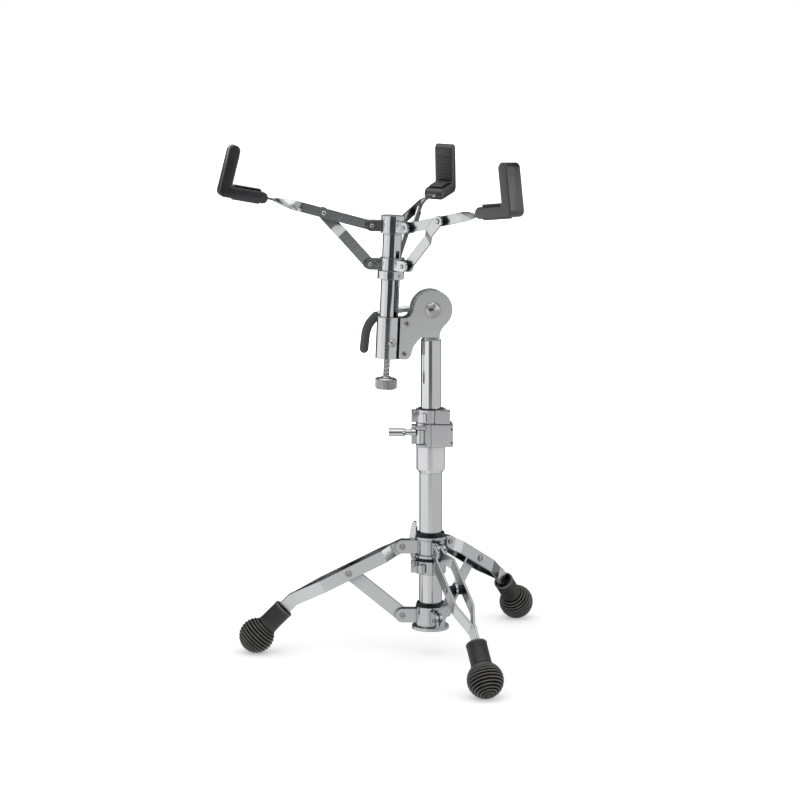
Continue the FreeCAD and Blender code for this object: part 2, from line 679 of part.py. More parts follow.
clamp_cut = cut("clamp_cut", clamp_solid, fuse("clamp_tools", [clamp_bore, clamp_neck]))
node("clamp_body", turned("clamp_body_turned", clamp_cut))
jaw_block = box("jaw_block", "jaw_right - 0.5", "jaw_face - 5.5", "clamp_height - 1",
                ("0.5", "-(jaw_face + 5.5) / 2", "clamp_bottom + 0.5"))
jaw_band = box("jaw_band", "10", "5", "clamp_height - 1", ("-9", "-jaw_face + 3.5", "clamp_bottom + 0.5"))
jaw_top_lug = box("jaw_top_lug", "12", "8", "3.6", ("-18.5", "-handle_depth - 1", "clamp_top - 5.6"))
jaw_low_lug = box("jaw_low_lug", "12", "8", "3.6", ("-18.5", "-handle_depth - 1", "clamp_bottom + 0.5"))
jaw_bore = upright("jaw_bore", "clamp_ring_radius + face_gap", "clamp_bottom - 5", "clamp_top + 5", "0", "0")
jaw_hinge_space = box("jaw_hinge_space", "30", "20", "60", ("7.5", "4.7", "clamp_bottom - 5"))
jaw_knuckle = box("jaw_knuckle", "5", "30", "2.5", ("jaw_right - 2.6", "-14", "clamp_top - 7"))
jaw_knuckle_low = box("jaw_knuckle_low", "5", "30", "2.5", ("jaw_right - 2.6", "-14", "clamp_bottom + 5"))
jaw_relief = upright("jaw_relief", "trunnion_radius + face_gap", "clamp_bottom + 4.4", "clamp_top - 5.9",
                     "-trunnion_x", "-handle_depth")
jaw_pin_hole = upright("jaw_pin_hole", "jaw_pin_radius + pin_clearance", "clamp_bottom - 5", "clamp_top + 5",
                       "-trunnion_x", "-handle_depth")
jaw_solid = fuse("jaw_solid", [jaw_block, jaw_band, jaw_top_lug, jaw_low_lug])
jaw_tools = fuse("jaw_tools", [jaw_bore, jaw_hinge_space, jaw_knuckle, jaw_knuckle_low, jaw_relief, jaw_pin_hole,
                               hinge_pin_hole])
node("clamp_jaw", turned("clamp_jaw_turned", cut("clamp_jaw_cut", jaw_solid, jaw_tools)))
jaw_hinge_pin = upright("jaw_hinge_pin", "jaw_pin_radius", "clamp_bottom + 0.2", "clamp_top - 0.2", "23", "-8")
trunnion = upright("trunnion", "trunnion_radius", "clamp_bottom + 5", "clamp_top - 6.4", "-trunnion_x",
                   "-handle_depth")
trunnion_pin = upright("trunnion_pin", "jaw_pin_radius", "clamp_bottom + 1", "clamp_top - 2.4", "-trunnion_x",
                       "-handle_depth")
swing_shank = cylinder("swing_shank", "swing_bolt_radius", "18",
                       ("-trunnion_x - 18", "-handle_depth", "handle_level"), "x")
swing_bolt = fuse("swing_bolt", [trunnion, trunnion_pin, swing_shank])
node("clamp_pins", turned("clamp_pins_turned", group("clamp_pin_pair", [jaw_hinge_pin, swing_bolt])))
handle_nut = cylinder("handle_nut", "handle_nut_radius", "6", ("-24.6", "-handle_depth", "handle_level"), "x")
handle_neck = cylinder("handle_neck", "handle_neck_radius", "8",
                       ("-handle_neck_end", "-handle_depth", "handle_level"), "x")
size("handle_tip", "=handle_neck_end + handle_barrel_length")
handle_barrel = cylinder("handle_barrel", "handle_barrel_radius", "handle_barrel_length",
                         ("-handle_tip", "-handle_depth", "handle_level"), "x")
handle_end = cylinder("handle_end", "handle_end_radius", "2 * handle_end_depth",
                      ("-handle_tip - handle_end_depth", "-handle_depth", "handle_level"), "x")
handle_bore = cylinder("handle_bore", "swing_bolt_radius + pin_clearance", "20",
                       ("-37", "-handle_depth", "handle_level"), "x")
handle_cross = cylinder("handle_cross", "handle_cross_radius", "30",
                        ("-handle_neck_end - 1.5", "-handle_depth - 15", "handle_level"), "y")
handle_solid = fuse("handle_solid", [handle_nut, handle_neck, handle_barrel])
handle_cut = cut("handle_cut", handle_solid, fuse("handle_tools", [handle_end, handle_bore, handle_cross]))
node("clamp_handle", turned("clamp_handle_turned", handle_cut))

# Memory lock on the upper tube, resting on the clamp
size("lock_top_bottom", "=clamp_top + face_gap")
size("lock_top_top", "=lock_top_bottom + lock_top_height")
top_ring = upright("top_ring", "lock_radius - 0.5", "lock_top_bottom", "lock_top_top", "0", "0")
top_block = box("top_block", "18.5", "13", "lock_top_height", ("5", "-14", "lock_top_bottom"))
top_lug = box("top_lug", "12", "lock_lug_width", "lock_top_height - 2",
              ("-lock_radius - 5", "lock_lug_centre", "lock_top_bottom + 1"))
top_barrel = upright("top_barrel", "3.3", "lock_top_bottom + 2", "lock_top_top - 3", "-9.2", "-lock_radius - 0.5")
top_split = box("top_split", "14", "1.6", "40", ("-lock_radius - 8", "lock_lug_centre", "lock_top_bottom - 5"))
top_bore = upright("top_bore", "upper_tube_radius + seat_clearance", "lock_top_bottom - 5", "lock_top_top + 5",
                   "0", "0")
top_seat = upright("top_seat", "upper_tube_radius + 2", "lock_top_top - 2", "lock_top_top + 5", "0", "0")
top_seats = screw_seats("top_screw", "-lock_radius - 1.8", "lock_top_top - 5")
top_solid = fuse("top_solid", [top_ring, top_block, top_lug, top_barrel])
top_cut = cut("top_cut", top_solid, fuse("top_tools", [top_split, top_bore, top_seat] + top_seats))
node("height_lock", turned("height_lock_turned", top_cut))
top_screw = pin("top_screw", "lock_screw_diameter", "lock_lug_left", "lock_lug_right", "lock_head_radius",
                "lock_head_height", "-lock_radius - 1.8", "lock_top_top - 5")
node("height_lock_screw", turned("height_lock_screw_turned", top_screw))
seat_ring = upright("seat_ring", "upper_tube_radius + 2 - seat_clearance", "lock_top_top - 2", "lock_top_top + 1",
                    "0", "0")
node("height_lock_bush", cut("height_lock_bush_cut", seat_ring, top_bore))

# Tilter and basket are drawn upright about the tilting pivot, then tilted as in use
def tilted(name, items):
    return group(name, items, AXIS_Y, "tilt_rest_angle", ("0", "0", "pivot_height"))


def on_axis(name, radius, low, high):
    return cylinder(name, radius, "(" + high + ") - (" + low + ")", ("-axis_offset", "0", low))


def axial(name, items, azimuth):
    """Place parts drawn about the basket's own axis, turned to one direction."""
    return group(name, items, AXIS_Z, azimuth, ("-axis_offset", "0", "0"))


ARMS = (("a", "180"), ("b", "300"), ("c", "60"))


def around_arms(name, items):
    return [axial(name + "_" + arm, items, azimuth) for arm, azimuth in ARMS]


# Toothed core on the upper tube
core_body = doc.addObject("PartDesign::Body", "core_body")
core_planes = {o.Role: o for o in core_body.Origin.OriginFeatures}
core_circle = core_body.newObject("Sketcher::SketchObject", "core_circle")
core_circle.AttachmentSupport = [(core_planes["XZ_Plane"], "")]
core_circle.MapMode = "FlatFace"
core_circle.addGeometry(Part.Circle(V(0, 0, 0), AXIS_Z, 22), False)
core_circle.addConstraint(Sketcher.Constraint("Coincident", 0, 3, -1, 1))
core_index = core_circle.addConstraint(Sketcher.Constraint("Radius", 0, 22))
bind(core_circle, "Constraints[%d]" % core_index, "core_diameter / 2")
core_pad = core_body.newObject("PartDesign::Pad", "core_pad")
core_pad.Profile = core_circle
core_pad.Midplane = True
bind(core_pad, "Length", "core_thickness")
doc.recompute()
tooth_cut = core_body.newObject("Sketcher::SketchObject", "tooth_cut")
tooth_cut.AttachmentSupport = [(core_planes["XZ_Plane"], "")]
tooth_cut.MapMode = "FlatFace"
tooth_corners = [V(-1, 24, 0), V(0, 21, 0), V(1, 24, 0)]
for i in range(3):
    tooth_cut.addGeometry(Part.LineSegment(tooth_corners[i], tooth_corners[(i + 1) % 3]), False)
for i in range(3):
    tooth_cut.addConstraint(Sketcher.Constraint("Coincident", i, 2, (i + 1) % 3, 1))
tooth_values = [("-1.25 * tooth_depth", "core_diameter / 2 + tooth_depth"), ("0", "core_diameter / 2 - tooth_depth"),
                ("1.25 * tooth_depth", "core_diameter / 2 + tooth_depth")]
for i, (x, y) in enumerate(tooth_values):
    if x == "0":
        tooth_cut.addConstraint(Sketcher.Constraint("PointOnObject", i, 1, -2))
    else:
        index = tooth_cut.addConstraint(Sketcher.Constraint("DistanceX", -1, 1, i, 1, tooth_corners[i].x))
        bind(tooth_cut, "Constraints[%d]" % index, x)
    index = tooth_cut.addConstraint(Sketcher.Constraint("DistanceY", -1, 1, i, 1, tooth_corners[i].y))
    bind(tooth_cut, "Constraints[%d]" % index, y)
tooth_pocket = core_body.newObject("PartDesign::Pocket", "tooth_pocket")
tooth_pocket.Profile = tooth_cut
tooth_pocket.Midplane = True
tooth_pocket.Length = 60
tooth_ring = core_body.newObject("PartDesign::PolarPattern", "tooth_ring")
tooth_ring.Originals = [tooth_pocket]
tooth_ring.Axis = (core_circle, ["N_Axis"])
tooth_ring.Angle = 360
bind(tooth_ring, "Occurrences", "tooth_count")
core_body.Tip = tooth_ring
core_neck = box("core_neck", "19", "core_thickness", "tube_top_drop - 12", ("-9.5", "0", "-tube_top_drop"))
core_plug = cylinder("core_plug", "upper_tube_radius - upper_tube_wall - seat_clearance", "26",
                     ("0", "0", "-tube_top_drop - 25"))
core_hole = cylinder("core_hole", "pivot_bolt_diameter / 2 + pin_clearance", "60", ("0", "-30", "0"), "y")
core_whole = cut("core_whole", fuse("core_solid", [core_body, core_neck, core_plug]), core_hole)
node("tilter_core", group("core_placed", [core_whole], AXIS_Z, None, ("0", "0", "pivot_height")))

# Tilter plates, riveted to the sleeve's boss
size("disc_radius", "=disc_diameter / 2")
size("plate_left", "=sleeve_diameter / 2 - axis_offset - 2.4")
size("plate_foot", "=3.5 - tube_top_drop + 0.2")
plate_points = [
    ("plate_left", "sleeve_top - 0.4"), ("plate_left + 7", "sleeve_top - 0.4"),
    ("plate_left + 12", "sleeve_top + 1.8"),
    ("-disc_radius + 0.1", "-1"), ("0.01", "disc_radius / 2"), ("0.9 * disc_radius", "-0.43 * disc_radius"),
    ("0.66 * disc_radius", "-0.74 * disc_radius"), ("0.48 * disc_radius", "-disc_radius"),
    ("0.39 * disc_radius", "-1.27 * disc_radius"), ("0.39 * disc_radius", "plate_foot"),
    ("-0.53 * disc_radius", "plate_foot"), ("-0.67 * disc_radius", "plate_foot - 3"),
    ("-0.9 * disc_radius", "plate_foot - 11"), ("-0.99 * disc_radius", "sleeve_bottom + 8.4"),
    ("-1.04 * disc_radius", "sleeve_bottom + 4.6"), ("-1.12 * disc_radius", "sleeve_bottom + 1.6"),
    ("-1.26 * disc_radius", "sleeve_bottom"),
    ("plate_left", "sleeve_bottom"),
]
plate_flat = outline("plate_flat", plate_points, "plate_thickness", "y")
plate_disc = cylinder("plate_disc", "disc_radius", "plate_thickness", ("0", "-plate_thickness / 2", "0"), "y")
plate_hole = cylinder("plate_hole", "pivot_bolt_diameter / 2 + seat_clearance", "60", ("0", "-30", "0"), "y")
size("screw_high_x", "=plate_left + 8.5")
size("screw_high_z", "=sleeve_top - 6.8")
size("screw_low_x", "=plate_left + 6.7")
size("screw_low_z", "=sleeve_bottom + 7.2")
rivet_high = cylinder("rivet_high", "plate_screw_diameter / 2 + seat_clearance", "60",
                      ("screw_high_x", "-30", "screw_high_z"), "y")
rivet_low = cylinder("rivet_low", "plate_screw_diameter / 2 + seat_clearance", "60",
                     ("screw_low_x", "-30", "screw_low_z"), "y")
plate_tools = fuse("plate_tools", [plate_hole, rivet_high, rivet_low])
plate_form = cut("plate_form", fuse("plate_solid", [plate_flat, plate_disc]), plate_tools)
plate_y = "(plate_inner_y + plate_thickness / 2)"
plate_front = group("plate_front", [plate_form], AXIS_Z, None, ("0", "-" + plate_y, "0"))
plate_back = group("plate_back", [plate_form], AXIS_Z, None, ("0", plate_y, "0"))
node("tilter_plate_front", tilted("plate_front_tilted", [plate_front]))
node("tilter_plate_back", tilted("plate_back_tilted", [plate_back]))
size("plate_face", "=plate_inner_y + plate_thickness")
size("cross_start", "=-plate_face - plate_head_height")


def plate_screw(name, x, z):
    """Screw through both plates, with a cross recess in its front head."""
    bar = pin(name + "_bar", "plate_screw_diameter", "plate_face", "-plate_face", "plate_head_radius",
              "plate_head_height", x, z)
    upright_cut = box(name + "_upright_cut", "cross_width", "2 * plate_head_height", "cross_span",
                      (x + " - cross_width / 2", "cross_start", z + " - cross_span / 2"))
    level_cut = box(name + "_level_cut", "cross_span", "2 * plate_head_height", "cross_width",
                    (x + " - cross_span / 2", "cross_start", z + " - cross_width / 2"))
    return cut(name, bar, fuse(name + "_cross", [upright_cut, level_cut]))


screw_high = plate_screw("screw_high", "screw_high_x", "screw_high_z")
screw_low = plate_screw("screw_low", "screw_low_x", "screw_low_z")
node("plate_screws", tilted("plate_screws_tilted", [screw_high, screw_low]))

# Pivot bolt with a domed head
bolt_shank = cylinder("bolt_shank", "pivot_bolt_diameter / 2", "2 * plate_face + 10", ("0", "-plate_face", "0"), "y")
bolt_flat = cylinder("bolt_flat", "pivot_head_radius", "5", ("0", "-plate_face - 5", "0"), "y")
bolt_ball = doc.addObject("Part::Sphere", "bolt_ball")
bind(bolt_ball, "Radius", "pivot_dome_radius")
put(bolt_ball, ("0", "0.7 * pivot_dome_radius - plate_face", "0"))
bolt_dome = common("bolt_dome", [bolt_flat, bolt_ball])
node("pivot_bolt", tilted("pivot_bolt_tilted", [fuse("pivot_bolt_form", [bolt_shank, bolt_dome])]))

# Sleeve, its boss and the clamping bolt on its front
sleeve_outer = on_axis("sleeve_outer", "sleeve_diameter / 2", "sleeve_bottom", "sleeve_top")
sleeve_boss = box("sleeve_boss", "axis_offset - 30", "2 * plate_inner_y", "sleeve_top - sleeve_bottom - 2.4",
                  ("-axis_offset + 1", "0", "sleeve_bottom + 1.2"))
sleeve_bore = on_axis("sleeve_bore", "basket_tube_diameter / 2 + seat_clearance", "sleeve_bottom + sleeve_floor",
                      "sleeve_top + 5")
sleeve_rod_hole = on_axis("sleeve_rod_hole", "rod_diameter / 2 + pin_clearance", "sleeve_bottom - 5", "sleeve_top")
size("lock_x", "=2.5 - axis_offset")
size("lock_z", "=sleeve_bottom + 20.7")
size("lock_y", "=-sleeve_diameter / 2")
lock_hole = cylinder("lock_hole", "sleeve_bolt_radius + seat_clearance", "20", ("lock_x", "-20", "lock_z"), "y")
sleeve_tools = fuse("sleeve_tools", [sleeve_bore, sleeve_rod_hole, rivet_high, rivet_low, lock_hole])
sleeve_cut = cut("sleeve_cut", fuse("sleeve_solid", [sleeve_outer, sleeve_boss]), sleeve_tools)
node("tilter_sleeve", tilted("sleeve_tilted", [sleeve_cut]))
lock_shank = cylinder("lock_shank", "sleeve_bolt_radius", "(sleeve_diameter - basket_tube_diameter) / 2 + face_gap",
                      ("lock_x", "lock_y - 2 * face_gap", "lock_z"), "y")
lock_head = cylinder("lock_head", "sleeve_bolt_head", "2.8", ("lock_x", "lock_y - 2.9", "lock_z"), "y")
lock_round = doc.addObject("Part::Sphere", "lock_round")
bind(lock_round, "Radius", "1.2 * sleeve_bolt_head")
put(lock_round, ("lock_x", "lock_y + 3", "lock_z"))
lock_dome = common("lock_dome", [lock_head, lock_round])
node("sleeve_bolt", tilted("sleeve_bolt_tilted", [fuse("sleeve_bolt_form", [lock_shank, lock_dome])]))

# Basket tube with its long slot
tube_outer = on_axis("tube_outer", "basket_tube_diameter / 2", "sleeve_bottom + sleeve_floor", "basket_tube_top")
tube_inner = on_axis("tube_inner", "basket_tube_diameter / 2 - basket_tube_wall", "sleeve_bottom - 5",
                     "basket_tube_top + 5")
slot_bar = box("slot_bar", "30", "slot_width", "slot_top - slot_bottom", ("2", "0", "slot_bottom"))
slot_turned = axial("slot_turned", [slot_bar], "slot_angle")
basket_tube_cut = cut("basket_tube_cut", tube_outer, fuse("tube_tools", [tube_inner, slot_turned]))
node("basket_tube", tilted("basket_tube_tilted", [basket_tube_cut]))

# Upper and lower yokes with three clevises each
ear_y = "(clevis_half + yoke_ear_thickness / 2)"
upper_ears = [ear("upper_ear_left", "arm_pivot_radius", "yoke_ear_height", "yoke_ear_thickness", ear_y,
                  "arm_pivot_height"),
              ear("upper_ear_right", "arm_pivot_radius", "yoke_ear_height", "yoke_ear_thickness", "-" + ear_y,
                  "arm_pivot_height")]
upper_hole = cylinder("upper_hole", "arm_pin_diameter / 2 + pin_clearance", "40",
                      ("arm_pivot_radius", "-20", "arm_pivot_height"), "y")
upper_barrel = on_axis("upper_barrel", "yoke_diameter / 2", "arm_pivot_height - 9", "basket_tube_top + 1.5")
upper_bore = on_axis("upper_bore", "basket_tube_diameter / 2 + seat_clearance", "0", "basket_tube_top")
upper_tools = fuse("upper_tools", [upper_bore] + around_arms("upper_hole", [upper_hole]))
upper_solid = fuse("upper_solid", [upper_barrel] + around_arms("upper_ears", upper_ears))
node("upper_yoke", tilted("upper_yoke_tilted", [cut("upper_yoke_cut", upper_solid, upper_tools)]))
pin_side = "clevis_half + yoke_ear_thickness"
upper_pin = pin("upper_pin", "arm_pin_diameter", pin_side, "-(" + pin_side + ")", "arm_rivet_radius",
                "arm_rivet_height", "arm_pivot_radius", "arm_pivot_height")
node("arm_pins", tilted("arm_pins_tilted", around_arms("upper_pin", [upper_pin])))
lower_ears = [ear("lower_ear_left", "arm_pivot_radius", "yoke_ear_height", "yoke_ear_thickness", ear_y,
                  "yoke_pivot_height"),
              ear("lower_ear_right", "arm_pivot_radius", "yoke_ear_height", "yoke_ear_thickness", "-" + ear_y,
                  "yoke_pivot_height")]
lower_hole = cylinder("lower_hole", "arm_pin_diameter / 2 + pin_clearance", "40",
                      ("arm_pivot_radius", "-20", "yoke_pivot_height"), "y")
lower_barrel = on_axis("lower_barrel", "yoke_diameter / 2 - face_gap", "yoke_pivot_height - 8",
                       "yoke_pivot_height + 8.2")
lower_collar = on_axis("lower_collar", "yoke_collar_diameter / 2", "yoke_pivot_height - 17.8",
                       "yoke_pivot_height - 7.6")
lower_bore = on_axis("lower_bore", "basket_tube_diameter / 2 + slide_clearance", "0", "basket_tube_top")
cross_hole = cylinder("cross_hole", "cross_pin_radius + seat_clearance", "40",
                      ("0", "0", "yoke_pivot_height - 13"), "x")
cross_hole_turned = axial("cross_hole_turned", [cross_hole], "slot_angle")
lower_tools = fuse("lower_tools", [lower_bore, cross_hole_turned] + around_arms("lower_hole", [lower_hole]))
lower_solid = fuse("lower_solid", [lower_barrel, lower_collar] + around_arms("lower_ears", lower_ears))
node("lower_yoke", tilted("lower_yoke_tilted", [cut("lower_yoke_cut", lower_solid, lower_tools)]))
lower_pin = pin("lower_pin", "arm_pin_diameter", pin_side, "-(" + pin_side + ")", "arm_rivet_radius",
                "arm_rivet_height", "arm_pivot_radius", "yoke_pivot_height")
node("basket_strut_pins", tilted("lower_pins_tilted", around_arms("lower_pin", [lower_pin])))
cross_shank = cylinder("cross_shank", "cross_pin_radius", "yoke_collar_diameter / 2 + 8",
                       ("-8", "0", "yoke_pivot_height - 13"), "x")
node("yoke_cross_pin", tilted("cross_pin_tilted", [axial("cross_pin_turned", [cross_shank], "slot_angle")]))
spacer_hole = cylinder("spacer_hole", "arm_pin_diameter / 2 + pin_clearance", "40", ("0", "-20", "0"), "y")
spacer_ring = cylinder("spacer_ring", "arm_width / 2 - 0.4", "arm_spacer",
                       ("0", "blade_y - arm_thickness / 2 - face_gap - arm_spacer", "0"), "y")
spacer_form = cut("spacer_form", spacer_ring, spacer_hole)
yoke_spacer = group("yoke_spacer", [spacer_form], AXIS_Z, None, ("arm_pivot_radius", "0", "yoke_pivot_height"))
node("yoke_spacers", tilted("yoke_spacers_tilted", around_arms("yoke_spacer", [yoke_spacer])))

# Threaded rod and knurled knob
rod_bar = on_axis("rod_bar", "rod_diameter / 2", "knob_top - 6", "yoke_pivot_height - 15.5")
rod_flange = on_axis("rod_flange", "5", "knob_top + 0.2", "knob_top + 2")
node("basket_rod", tilted("basket_rod_tilted", [fuse("basket_rod_form", [rod_bar, rod_flange])]))
knob_body = on_axis("knob_body", "knob_diameter / 2", "knob_top - knob_height", "knob_top")
knob_bore = on_axis("knob_bore", "rod_diameter / 2 + seat_clearance", "knob_top - 6", "knob_top + 5")
knurls = []
for i in range(30):
    knurl = cylinder("knurl", "knurl_radius", "knob_height - 4",
                     ("knob_diameter / 2 + 0.25", "0", "knob_top - knob_height + 2"))
    knurls.append(axial("knurl_turned", [knurl], "%d * 12" % i))
basket_knob_cut = cut("basket_knob_cut", knob_body, fuse("knob_tools", knurls + [knob_bore]))
node("basket_knob", tilted("basket_knob_tilted", [basket_knob_cut]))

# Tilter lever behind the plates, with a bent rubber grip
lever_nut = cylinder("lever_nut", "lever_nut_radius", "11", ("0", "plate_face + face_gap", "0"), "y")
lever_bar = cylinder("lever_bar", "lever_radius", "lever_length", ("-lever_length", "lever_y", "0"), "x")
lever_bend = bent("lever_bend", "grip_bend_radius", "lever_radius", "lever_bend_angle + grip_seat_angle")
bend_centre = ("-lever_length", "lever_y", "-grip_bend_radius")
put(lever_bend, bend_centre)
lever_hole = cylinder("lever_hole", "pivot_bolt_diameter / 2 + pin_clearance", "60", ("0", "-10", "0"), "y")
lever_form = cut("lever_form", fuse("lever_solid", [lever_nut, lever_bar, lever_bend]), lever_hole)
lever_dipped = group("lever_dipped", [lever_form], AXIS_Y, "-lever_dip_angle")
node("lever_rod", tilted("lever_tilted", [lever_dipped]))
grip_turn = bent("grip_turn", "grip_bend_radius", "grip_radius", "grip_sweep_angle - lever_bend_angle")
grip_arc = group("grip_arc", [grip_turn], AXIS_Y, "-lever_bend_angle", bend_centre)
grip_straight = cylinder("grip_straight", "grip_radius", "grip_fall", ("0", "0", "-grip_fall"))
grip_tip = doc.addObject("Part::Sphere", "grip_tip")
bind(grip_tip, "Radius", "grip_radius")
put(grip_tip, ("0", "0", "-grip_fall"))
grip_drop = group("grip_drop", [fuse("grip_fall_round", [grip_straight, grip_tip])], AXIS_Y, "90 - grip_sweep_angle",
                  ("-lever_length - grip_bend_radius * sin(grip_sweep_angle * 1 deg)", "lever_y",
                   "-grip_bend_radius + grip_bend_radius * cos(grip_sweep_angle * 1 deg)"))
grip_bore = bent("grip_bore", "grip_bend_radius", "lever_radius + seat_clearance",
                 "lever_bend_angle + grip_seat_angle + 1")
put(grip_bore, bend_centre)
grip_form = cut("grip_form", fuse("grip_solid", [grip_arc, grip_drop]), grip_bore)
grip_dipped = group("grip_dipped", [grip_form], AXIS_Y, "-lever_dip_angle")
node("lever_grip", tilted("grip_tilted", [grip_dipped]))


# Basket arms: flat strip on edge at the yoke, twisted a quarter turn to lie flat in the pad
def section(index, count):
    """Cross section of the strip part way through its twist."""
    share = index / count
    sketch = doc.addObject("Sketcher::SketchObject", "twist_section")
    corners = [V(-1, -6, 0), V(1, -6, 0), V(1, 6, 0), V(-1, 6, 0)]
    for i in range(4):
        sketch.addGeometry(Part.LineSegment(corners[i], corners[(i + 1) % 4]), False)
    for i in range(4):
        sketch.addConstraint(Sketcher.Constraint("Coincident", i, 2, (i + 1) % 4, 1))
    for i, corner in enumerate(corners):
        across = "arm_thickness / 2" if corner.x > 0 else "-arm_thickness / 2"
        along = "arm_width / 2" if corner.y > 0 else "-arm_width / 2"
        for kind, text, guess in (("DistanceX", across, corner.x), ("DistanceY", along, corner.y)):
            spot = sketch.addConstraint(Sketcher.Constraint(kind, -1, 1, i, 1, guess))
            bind(sketch, "Constraints[%d]" % spot, text)
    stand = FreeCAD.Rotation(V(1, 1, 1), 120)
    sketch.Placement = FreeCAD.Placement(V(), FreeCAD.Rotation(AXIS_X, 90 * share) * stand)
    put(sketch, ("arm_twist_start + (arm_twist_end - arm_twist_start) * %s" % share,
                 "blade_y * %s" % (1 - share), "0"))
    return sketch


TWIST_STEPS = 6
twist = doc.addObject("Part::Loft", "twist")
twist.Sections = [section(i, TWIST_STEPS) for i in range(TWIST_STEPS + 1)]
twist.Solid = True
twist.Ruled = False
blade_bar = box("blade_bar", "arm_twist_start", "arm_thickness", "arm_width", ("0", "blade_y", "-arm_width / 2"))
blade_end = cylinder("blade_end", "arm_width / 2", "arm_thickness", ("0", "blade_y - arm_thickness / 2", "0"), "y")
blade_flat = box("blade_flat", "arm_length - arm_twist_end", "arm_width", "arm_thickness",
                 ("arm_twist_end", "0", "-arm_thickness / 2"))
blade_hub_hole = cylinder("blade_hub_hole", "arm_pin_diameter / 2 + pin_clearance", "40", ("0", "-20", "0"), "y")
blade_mid_hole = cylinder("blade_mid_hole", "arm_pin_diameter / 2 + pin_clearance", "40",
                          ("arm_mid_length", "-20", "0"), "y")
blade_form = cut("blade_form", fuse("blade_solid", [blade_bar, blade_end, twist, blade_flat]),
                 fuse("blade_holes", [blade_hub_hole, blade_mid_hole]))
arm_bolt = pin("arm_bolt", "arm_pin_diameter", "blade_y + arm_thickness / 2",
               "side_strut_y - arm_strut_thickness / 2 - face_gap", "arm_rivet_radius", "arm_rivet_height",
               "arm_mid_length", "0")
mid_spacer = group("mid_spacer", [spacer_form], AXIS_Z, None, ("arm_mid_length", "0", "0"))


def raised(name, items):
    return group(name, items, AXIS_Y, "-arm_slope_angle", ("arm_pivot_radius", "0", "arm_pivot_height"))


blade_raised = raised("blade_raised", [blade_form, arm_bolt])
spacer_raised = raised("spacer_raised", [spacer_form, mid_spacer])

# Rubber pads: limb under the drum's rim, upright leaning in, ribs on the gripping face
half = "pad_thickness / 2"
limb_bar = box("limb_bar", "pad_limb_length", "pad_width", "pad_thickness", ("-pad_limb_length", "0", "-" + half))
limb_end = cylinder("limb_end", half, "pad_width", ("-pad_limb_length", "-pad_width / 2", "0"), "y")
limb_corner = cylinder("limb_corner", half, "pad_width", ("0", "-pad_width / 2", "0"), "y")
limb_top = box("limb_top", "pad_limb_length - 10", "pad_width - 8", "2", ("-pad_limb_length", "0", half + " - 0.4"))
limb_low = box("limb_low", "pad_limb_length - 10", "pad_width - 8", "2",
               ("-pad_limb_length", "0", "-" + half + " - 1.6"))
limb_form = fuse("limb_form", [limb_bar, limb_end, limb_corner, limb_top, limb_low])
limb = group("limb", [limb_form], AXIS_Y, "-pad_limb_angle", ("pad_corner_radius", "0", "pad_corner_height"))
upright_bar = box("upright_bar", "pad_thickness", "pad_width", "pad_upright_length", ("-" + half, "0", "0"))
upright_top = cylinder("upright_top", half, "pad_width", ("0", "-pad_width / 2", "pad_upright_length"), "y")
ribs = []
for i in range(10):
    ribs.append(box("pad_rib", "1.2", "pad_width - 4", "1.5",
                    ("-" + half + " - 0.8", "0", "12 + pad_rib_pitch * %d" % i)))
upright_form = fuse("upright_form", [upright_bar, upright_top] + ribs)
upright_part = group("upright_part", [upright_form], AXIS_Y, "-pad_lean_angle",
                     ("pad_corner_radius", "0", "pad_corner_height"))
pad_pocket_bar = box("pad_pocket_bar", "arm_length - arm_twist_end + 0.2", "arm_width + 2 * seat_clearance",
                     "arm_thickness + 2 * seat_clearance",
                     ("arm_twist_end", "0", "-arm_thickness / 2 - seat_clearance"))
pad_pocket = raised("pad_pocket", [pad_pocket_bar])
pad_form = cut("pad_form", fuse("pad_solid", [limb, upright_part]), pad_pocket)

# Basket struts: joggled strip from the lower yoke to the right-hand side of each arm
joggle = [("-12", "blade_y"), ("arm_strut_length * 0.6", "blade_y"),
          ("arm_strut_length * 0.6 + 12", "side_strut_y"), ("arm_strut_length + 12", "side_strut_y")]
joggle_points = ([(x, y + " - arm_strut_thickness / 2") for x, y in joggle]
                 + [(x, y + " + arm_strut_thickness / 2") for x, y in reversed(joggle)])
joggle_plan = outline("joggle_plan", joggle_points, "60", "z")
link_bar = box("link_bar", "arm_strut_length", "40", "arm_strut_width", ("0", "0", "-arm_strut_width / 2"))
link_low = cylinder("link_low", "arm_strut_width / 2", "40", ("0", "-20", "0"), "y")
link_high = cylinder("link_high", "arm_strut_width / 2", "40", ("arm_strut_length", "-20", "0"), "y")
link_low_hole = cylinder("link_low_hole", "arm_pin_diameter / 2 + pin_clearance", "60", ("0", "-30", "0"), "y")
link_high_hole = cylinder("link_high_hole", "arm_pin_diameter / 2 + link_play", "60",
                          ("arm_strut_length", "-30", "0"), "y")
link_flat = common("link_flat", [joggle_plan, fuse("link_side", [link_bar, link_low, link_high])])
link_form = cut("link_form", link_flat, fuse("link_holes", [link_low_hole, link_high_hole]))
link_raised = group("link_raised", [link_form], AXIS_Y, "-arm_strut_slope",
                    ("arm_pivot_radius", "0", "yoke_pivot_height"))
for arm, azimuth in ARMS:
    node("arm_%s_blade" % arm, tilted("blade_tilted_" + arm, [axial("blade_" + arm, [blade_raised], azimuth)]))
    node("arm_%s_spacers" % arm,
         tilted("spacers_tilted_" + arm, [axial("spacers_" + arm, [spacer_raised], azimuth)]))
    node("arm_%s_pad" % arm, tilted("pad_tilted_" + arm, [axial("pad_" + arm, [pad_form], azimuth)]))
    node("arm_%s_strut" % arm, tilted("link_tilted_" + arm, [axial("link_" + arm, [link_raised], azimuth)]))

